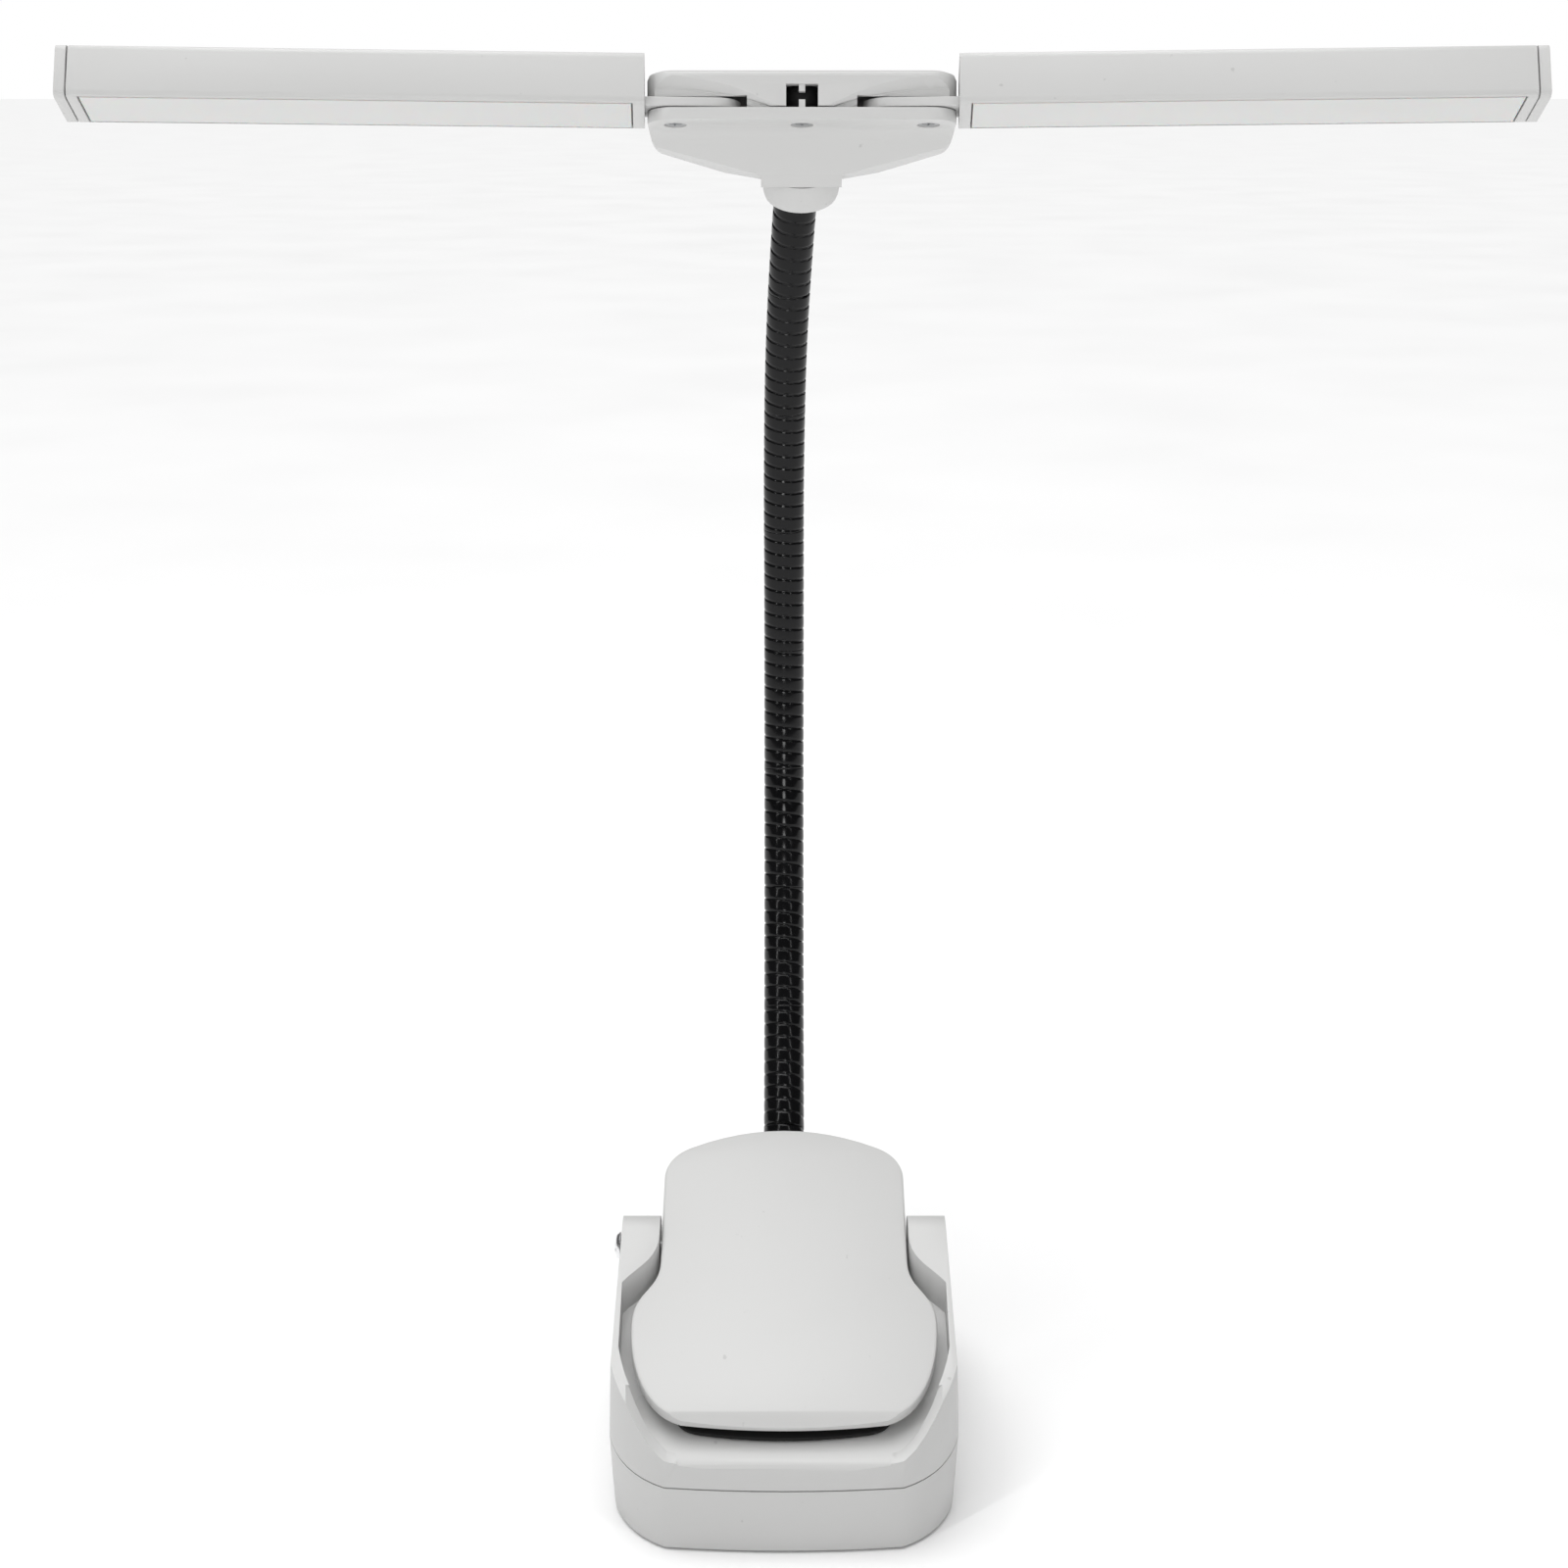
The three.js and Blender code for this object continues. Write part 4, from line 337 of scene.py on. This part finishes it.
def softened(node, material, edge):
    """The node's own shape with its edges rounded off: flat faces are made whole again, then bevelled."""
    source = frame["nodes"][node]
    mesh = source.data.copy()
    mesh.name = f"soft_{node}"
    work = bmesh.new()
    work.from_mesh(mesh)
    bmesh.ops.remove_doubles(work, verts=work.verts, dist=MERGE_WITHIN)
    bmesh.ops.dissolve_limit(work, angle_limit=FLAT_WITHIN, verts=work.verts, edges=work.edges)
    work.to_mesh(mesh)
    work.free()
    mesh.materials.clear()
    mesh.materials.append(material)
    mesh.shade_smooth()
    piece = bpy.data.objects.new(f"soft_{node}", mesh)
    bpy.context.scene.collection.objects.link(piece)
    bevel = piece.modifiers.new("edges", "BEVEL")
    bevel.width = edge
    bevel.segments = 3
    bevel.limit_method = "ANGLE"
    bevel.angle_limit = ROUNDED_FROM
    bevel.miter_outer = "MITER_ARC"
    bevel.harden_normals = True
    bevel.use_clamp_overlap = True
    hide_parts(node)
    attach(piece, source["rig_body"])
    return piece


def sleeve(name, body, middle, along, radii, heights, material):
    """A plain tube round a line through a point, between two radii and two heights along that line.

    Its section is four corners (radius, height), each turned round the line: point + radius * (cos * across
    + sin * side) + height * along."""
    across = np.array((1.0, 0.0, 0.0))
    side = np.cross(along, across)
    n = SEAL_SIDES
    turn = np.arange(n) * (2 * math.pi / n)
    (inner, outer), (low, high) = radii, heights
    section = np.array([(inner, low), (outer, low), (outer, high), (inner, high)])
    spokes = np.cos(turn)[:, None] * across + np.sin(turn)[:, None] * side
    grid = middle + section[:, None, :1] * spokes[None] + section[:, None, 1:] * along
    corners = len(section)
    i, j = np.meshgrid(np.arange(corners), np.arange(n), indexing="ij")
    next_i, next_j = (i + 1) % corners, (j + 1) % n
    quads = np.stack([i * n + j, i * n + next_j, next_i * n + next_j, next_i * n + j], -1).reshape(-1, 4)
    return new_piece(name, grid.reshape(-1, 3), quads.tolist(), material, body)


def coat_node(node, material):
    """Gives a CAD node that keeps its own shape a finish."""
    for held in frame["nodes"][node].material_slots:
        held.material = material


# ---- Gooseneck ---------------------------------------------------------------------------------


def far_end(node, near):
    """Middle of the node's end face that is farthest from a point, along its own length."""
    mesh = frame["nodes"][node].data
    points = np.empty(len(mesh.vertices) * 3)
    mesh.vertices.foreach_get("co", points)
    points = points.reshape(-1, 3)
    along = points.mean(0) - near
    reach = (points - near) @ (along / np.linalg.norm(along))
    return points[reach > reach.max() - 1e-5].mean(0)


def neck_line():
    """The neck's line through its root, its joints and its head: cubic pieces through the points, each
    with the slope of its neighbours' chord. Returns a function of distance, and the points' distances."""
    joints = [np.array(j["pos_m"]) for j in frame["joints"] if j["name"].startswith("neck_")]
    joints.sort(key=lambda p: p[2])
    points = np.array([far_end("neck_foot", joints[0]), *joints, far_end("neck_head", joints[-1])])
    steps = np.linalg.norm(np.diff(points, axis=0), axis=1)
    marks = np.concatenate([[0], np.cumsum(steps)])
    chords = np.diff(points, axis=0) / steps[:, None]
    slopes = np.empty_like(points)
    slopes[0], slopes[-1] = chords[0], chords[-1]
    weight = (steps[1:] / (steps[1:] + steps[:-1]))[:, None]
    slopes[1:-1] = weight * chords[:-1] + (1 - weight) * chords[1:]

    def at(distance):
        i = np.clip(np.searchsorted(marks, distance, side="right") - 1, 0, len(steps) - 1)
        h = steps[i][:, None]
        t = ((distance - marks[i]) / steps[i])[:, None]
        place = ((2 * t**3 - 3 * t**2 + 1) * points[i] + (t**3 - 2 * t**2 + t) * h * slopes[i]
                 + (3 * t**2 - 2 * t**3) * points[i + 1] + (t**3 - t**2) * h * slopes[i + 1])
        along = ((6 * t**2 - 6 * t) * (points[i] - points[i + 1]) / h
                 + (3 * t**2 - 4 * t + 1) * slopes[i] + (3 * t**2 - 2 * t) * slopes[i + 1])
        return place, along / np.linalg.norm(along, axis=1)[:, None]

    return at, marks


def wound_stretch(at, start, end, settings):
    """One stretch of wound strip, as points on a grid of rows along it and columns around it.

    The radius at (distance s, angle a) is the outer radius, less a crown that falls off with the square
    of the distance from the middle of the turn, less a narrow groove that is deepest where s over the
    pitch plus a over a full turn is whole. Both ends are closed by a flat face."""
    rows = max(8, int(round((end - start) / settings.pitch * settings.per_turn)))
    distance = np.linspace(start, end, rows + 1)
    angle = np.arange(settings.around) * (2 * math.pi / settings.around)
    place, along = at(distance)
    across = np.tile((1.0, 0.0, 0.0), (len(distance), 1)) - along * along[:, :1]
    across /= np.linalg.norm(across, axis=1)[:, None]
    up = np.cross(along, across)
    turn = (distance[:, None] / settings.pitch + angle[None, :] / (2 * math.pi)) % 1.0
    off = np.abs(turn - 0.5) * 2
    dip = np.clip((off - GROOVE_FROM) / (1 - GROOVE_FROM), 0, 1)**GROOVE_POWER
    radius = settings.radius - settings.crown * off**2 - settings.groove * dip
    points = (place[:, None] + radius[..., None] * (
        np.cos(angle)[None, :, None] * across[:, None] + np.sin(angle)[None, :, None] * up[:, None]))
    n = settings.around
    i, j = np.meshgrid(np.arange(rows), np.arange(n), indexing="ij")
    k = (j + 1) % n
    quads = np.stack([i * n + j, i * n + k, (i + 1) * n + k, (i + 1) * n + j], -1).reshape(-1, 4)
    faces = quads.tolist()
    faces.append(list(range(n))[::-1])
    faces.append([rows * n + q for q in range(n)])
    return points.reshape(-1, 3), faces


class LAMP_OT_gooseneck(bpy.types.Operator):
    """Builds the wound gooseneck, one stretch across each of its joints"""

    bl_idname = "lamp.gooseneck"
    bl_label = "Gooseneck"

    def execute(self, context):
        settings = context.scene.lamp_neck
        at, marks = neck_line()
        bodies = ["base", *[f"neck_{i}" for i in range(1, 9)], "hub"]
        links = [*[f"neck_link_{i}" for i in range(1, 9)], "neck_head"]
        middles = (marks[1:-2] + marks[2:-1]) / 2
        edges = np.concatenate([[0], middles, [marks[-1]]])
        for i in range(len(bodies) - 1):
            points, faces = wound_stretch(at, edges[i], edges[i + 1], settings)
            piece = new_piece(f"neck_wound_{i + 1}", points, faces, neck_strip())
            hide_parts(*(["neck_foot", links[i]] if i == 0 else [links[i]]))
            joint = marks[i + 1]
            bend_from = max(edges[i], joint - (edges[i + 1] - joint)) if i == 0 else edges[i]
            bend_to = min(edges[i + 1], joint + BEND_AFTER_LAST) if i == len(bodies) - 2 else edges[i + 1]
            ends, _ = at(np.array([max(bend_from, joint - BEND_BEFORE), bend_to]))
            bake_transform(piece)
        return {"FINISHED"}


# ---- Shells, pads, hub and bars ----------------------------------------------------------------


class LAMP_OT_base(bpy.types.Operator):
    """Finishes the base: its two shells, pads, screws and the parts inside"""

    bl_idname = "lamp.base"
    bl_label = "Base"

    def execute(self, context):
        s = context.scene.lamp_shell
        softened("base_top_shell", shell_plastic(), s.edge)
        softened("base_bottom_shell", shell_plastic(), s.fine_edge)
        softened("rest_pad", pad_rubber(), s.fine_edge)
        softened("lower_jaw_pad", pad_rubber(), s.fine_edge)
        softened("pivot_screw", bright_chrome(), 0.12 * MM)
        for node in ("pivot_nut", "clip_spring", "charging_socket", "power_switch", "brightness_switch",
                     *[f"case_screw_{i}" for i in range(1, 5)]):
            coat_node(node, screw_steel())
        coat_node("battery_cell", finish_named("battery_wrap", lambda n: finish_of(
            n, (0.33, 0.44, 0.55), 0.35, mottle=0.1, metallic=0.6, grain=0.02 * MM, grain_size=1.2 * MM)))
        coat_node("control_board", finish_named("circuit_board", lambda n: finish_of(
            n, (0.02, 0.15, 0.06), 0.3, mottle=0.2, mottle_size=0.002, grain=0.01 * MM)))
        coat_node("charge_indicator", finish_named("clear_light_pipe", lambda n: finish_of(
            n, (0.86, 0.87, 0.85), 0.15, mottle=0.02, grain=0.004 * MM, subsurface=0.5)))
        return {"FINISHED"}


class LAMP_OT_buttons(bpy.types.Operator):
    """Finishes the power and brightness buttons"""

    bl_idname = "lamp.buttons"
    bl_label = "Buttons"

    def execute(self, context):
        for node in ("power_button", "brightness_button"):
            softened(node, pad_rubber(), 0.4 * MM)
        return {"FINISHED"}


class LAMP_OT_jaw(bpy.types.Operator):
    """Finishes the upper jaw: its plate, liner and pad"""

    bl_idname = "lamp.jaw"
    bl_label = "Jaw"

    def execute(self, context):
        s = context.scene.lamp_shell
        softened("jaw_plate", shell_plastic(), s.fine_edge)
        softened("jaw_liner", shell_plastic(), s.fine_edge)
        softened("upper_jaw_pad", pad_rubber(), s.fine_edge)
        return {"FINISHED"}


class LAMP_OT_hub(bpy.types.Operator):
    """Finishes the hub: two shells, collar, screws and washers"""

    bl_idname = "lamp.hub"
    bl_label = "Hub"

    def execute(self, context):
        s = context.scene.lamp_shell
        for node in ("hub_lower_shell", "hub_upper_shell", "hub_collar"):
            softened(node, shell_plastic(), s.fine_edge)
        for name in ("left", "middle", "right"):
            coat_node(f"hub_screw_{name}", screw_steel())
        for name in SIDES:
            coat_node(f"hinge_washer_{name}", screw_steel())
        swings = [j for j in frame["joints"] if j["name"].startswith("bar_swing_")]
        middle = np.mean([j["pos_m"] for j in swings], axis=0)
        along = np.array(swings[0]["axis"])
        along *= np.sign(along[2]) / np.linalg.norm(along)
        sleeve("hub_light_seal", "hub", middle, along, SEAL_RADII, SEAL_HEIGHTS, pad_rubber())
        return {"FINISHED"}


class LAMP_OT_bars(bpy.types.Operator):
    """Finishes the two light bars: housing, end cap, diffuser, hinge tongue and light board"""

    bl_idname = "lamp.bars"
    bl_label = "Light bars"

    def execute(self, context):
        s = context.scene.lamp_shell
        board = finish_named("light_board", lambda n: finish_of(
            n, (0.8, 0.8, 0.77), 0.4, mottle=0.04, mottle_size=0.003, grain=0.01 * MM))
        for name in SIDES:
            softened(f"bar_housing_{name}", shell_plastic(), s.fine_edge)
            softened(f"bar_end_cap_{name}", shell_plastic(), s.fine_edge)
            softened(f"hinge_tongue_{name}", shell_plastic(), 0.2 * MM)
            softened(f"bar_diffuser_{name}", opal_diffuser(), 0.15 * MM)
            coat_node(f"bar_light_board_{name}", board)
        return {"FINISHED"}


# ---- Stage -------------------------------------------------------------------------------------


def soft_light(name, place, target, width, height, power):
    """Adds a rectangular light that faces a point."""
    light = bpy.data.lights.new(name, "AREA")
    light.shape = "RECTANGLE"
    light.size, light.size_y, light.energy = width, height, power
    holder = bpy.data.objects.new(name, light)
    holder.location = place
    holder.rotation_euler = (Vector(target) - Vector(place)).to_track_quat("-Z", "Y").to_euler()
    bpy.context.scene.collection.objects.link(holder)


class LAMP_OT_stage(bpy.types.Operator):
    """Sets up the camera, the pale floor and the soft light"""

    bl_idname = "lamp.stage"
    bl_label = "Stage"

    def execute(self, context):
        scene = context.scene
        s = scene.lamp_stage
        camera = bpy.data.objects.new("camera", bpy.data.cameras.new("camera"))
        camera.location = s.camera_at
        camera.rotation_euler = (math.pi / 2 - s.pitch, 0, 0)
        camera.data.lens = s.lens
        camera.data.sensor_width = SENSOR_WIDTH
        camera.data.clip_start = NEAR_CLIP
        scene.collection.objects.link(camera)
        scene.camera = camera
        scene.view_settings.view_transform = "Standard"
        corners = [(x * FLOOR_REACH, y * FLOOR_REACH, 0) for x, y in ((-1, -1), (1, -1), (1, 1), (-1, 1))]
        paper = finish_of("pale_floor", s.floor, 0.7, mottle=0.004, mottle_size=0.2, specular=0.1)
        new_piece("floor", corners, [(0, 1, 2, 3)], paper)
        world = bpy.data.worlds.new("soft_sky")
        world.use_nodes = True
        scene.world = world
        nodes, links = world.node_tree.nodes, world.node_tree.links
        sky = nodes["Background"]
        path = nodes.new("ShaderNodeLightPath")
        dim = nodes.new("ShaderNodeMapRange")
        dim.inputs["To Min"].default_value = s.sky
        dim.inputs["To Max"].default_value = s.sheen
        links.new(path.outputs["Is Glossy Ray"], dim.inputs["Value"])
        level = nodes.new("ShaderNodeMapRange")
        level.inputs["To Max"].default_value = 1.0
        links.new(path.outputs["Is Camera Ray"], level.inputs["Value"])
        links.new(dim.outputs["Result"], level.inputs["To Min"])
        links.new(level.outputs["Result"], sky.inputs["Strength"])
        sky.inputs["Color"].default_value = (1, 1, 1, 1)
        sun = bpy.data.lights.new("key_light", "SUN")
        sun.energy, sun.angle = s.key, SUN_SPREAD
        holder = bpy.data.objects.new("key_light", sun)
        holder.rotation_euler = Vector(SUN_HEADING).to_track_quat("-Z", "Y").to_euler()
        scene.collection.objects.link(holder)
        x, y, z = STRIP_AT
        soft_light("left_strip", (-x, y, z), LAMP_MIDDLE, *STRIP_SIZE, s.side)
        soft_light("right_strip", (x, y, z), LAMP_MIDDLE, *STRIP_SIZE, s.side * RIGHT_STRIP_SHARE)
        front = bpy.data.lights.new("front_light", "SPOT")
        front.energy, front.spot_size, front.spot_blend = s.front, SPOT_CONE, 0.6
        front.shadow_soft_size = 0.25
        holder = bpy.data.objects.new("front_light", front)
        holder.location = SPOT_AT
        holder.rotation_euler = (Vector(HUB_MIDDLE) - holder.location).to_track_quat("-Z", "Y").to_euler()
        scene.collection.objects.link(holder)
        return {"FINISHED"}


STEPS = (
    LAMP_OT_stage, LAMP_OT_base, LAMP_OT_buttons, LAMP_OT_jaw, LAMP_OT_gooseneck, LAMP_OT_hub, LAMP_OT_bars)
SETTINGS = {"lamp_shell": LampShellSettings, "lamp_neck": LampNeckSettings, "lamp_stage": LampStageSettings}


class LAMP_PT_panel(bpy.types.Panel):
    """Lists the settings and the steps that build the lamp"""

    bl_idname = "LAMP_PT_panel"
    bl_label = "Reading lamp"
    bl_space_type = "VIEW_3D"
    bl_region_type = "UI"
    bl_category = "Lamp"

    def draw(self, context):
        for name, kind in SETTINGS.items():
            box = self.layout.box()
            for field in kind.__annotations__:
                box.prop(getattr(context.scene, name), field)
        for step in STEPS:
            self.layout.operator(step.bl_idname)


def register():
    for kind in (*SETTINGS.values(), *STEPS, LAMP_PT_panel):
        bpy.utils.register_class(kind)
    for name, kind in SETTINGS.items():
        setattr(bpy.types.Scene, name, PointerProperty(type=kind))


def unregister():
    for name in SETTINGS:
        delattr(bpy.types.Scene, name)
    for kind in reversed((*SETTINGS.values(), *STEPS, LAMP_PT_panel)):
        bpy.utils.unregister_class(kind)


def main():
    register()
    bpy.ops.lamp.stage()
    bpy.ops.lamp.base()
    bpy.ops.lamp.buttons()
    bpy.ops.lamp.jaw()
    bpy.ops.lamp.gooseneck()
    bpy.ops.lamp.hub()
    bpy.ops.lamp.bars()


if __name__ == "__main__":
    main()
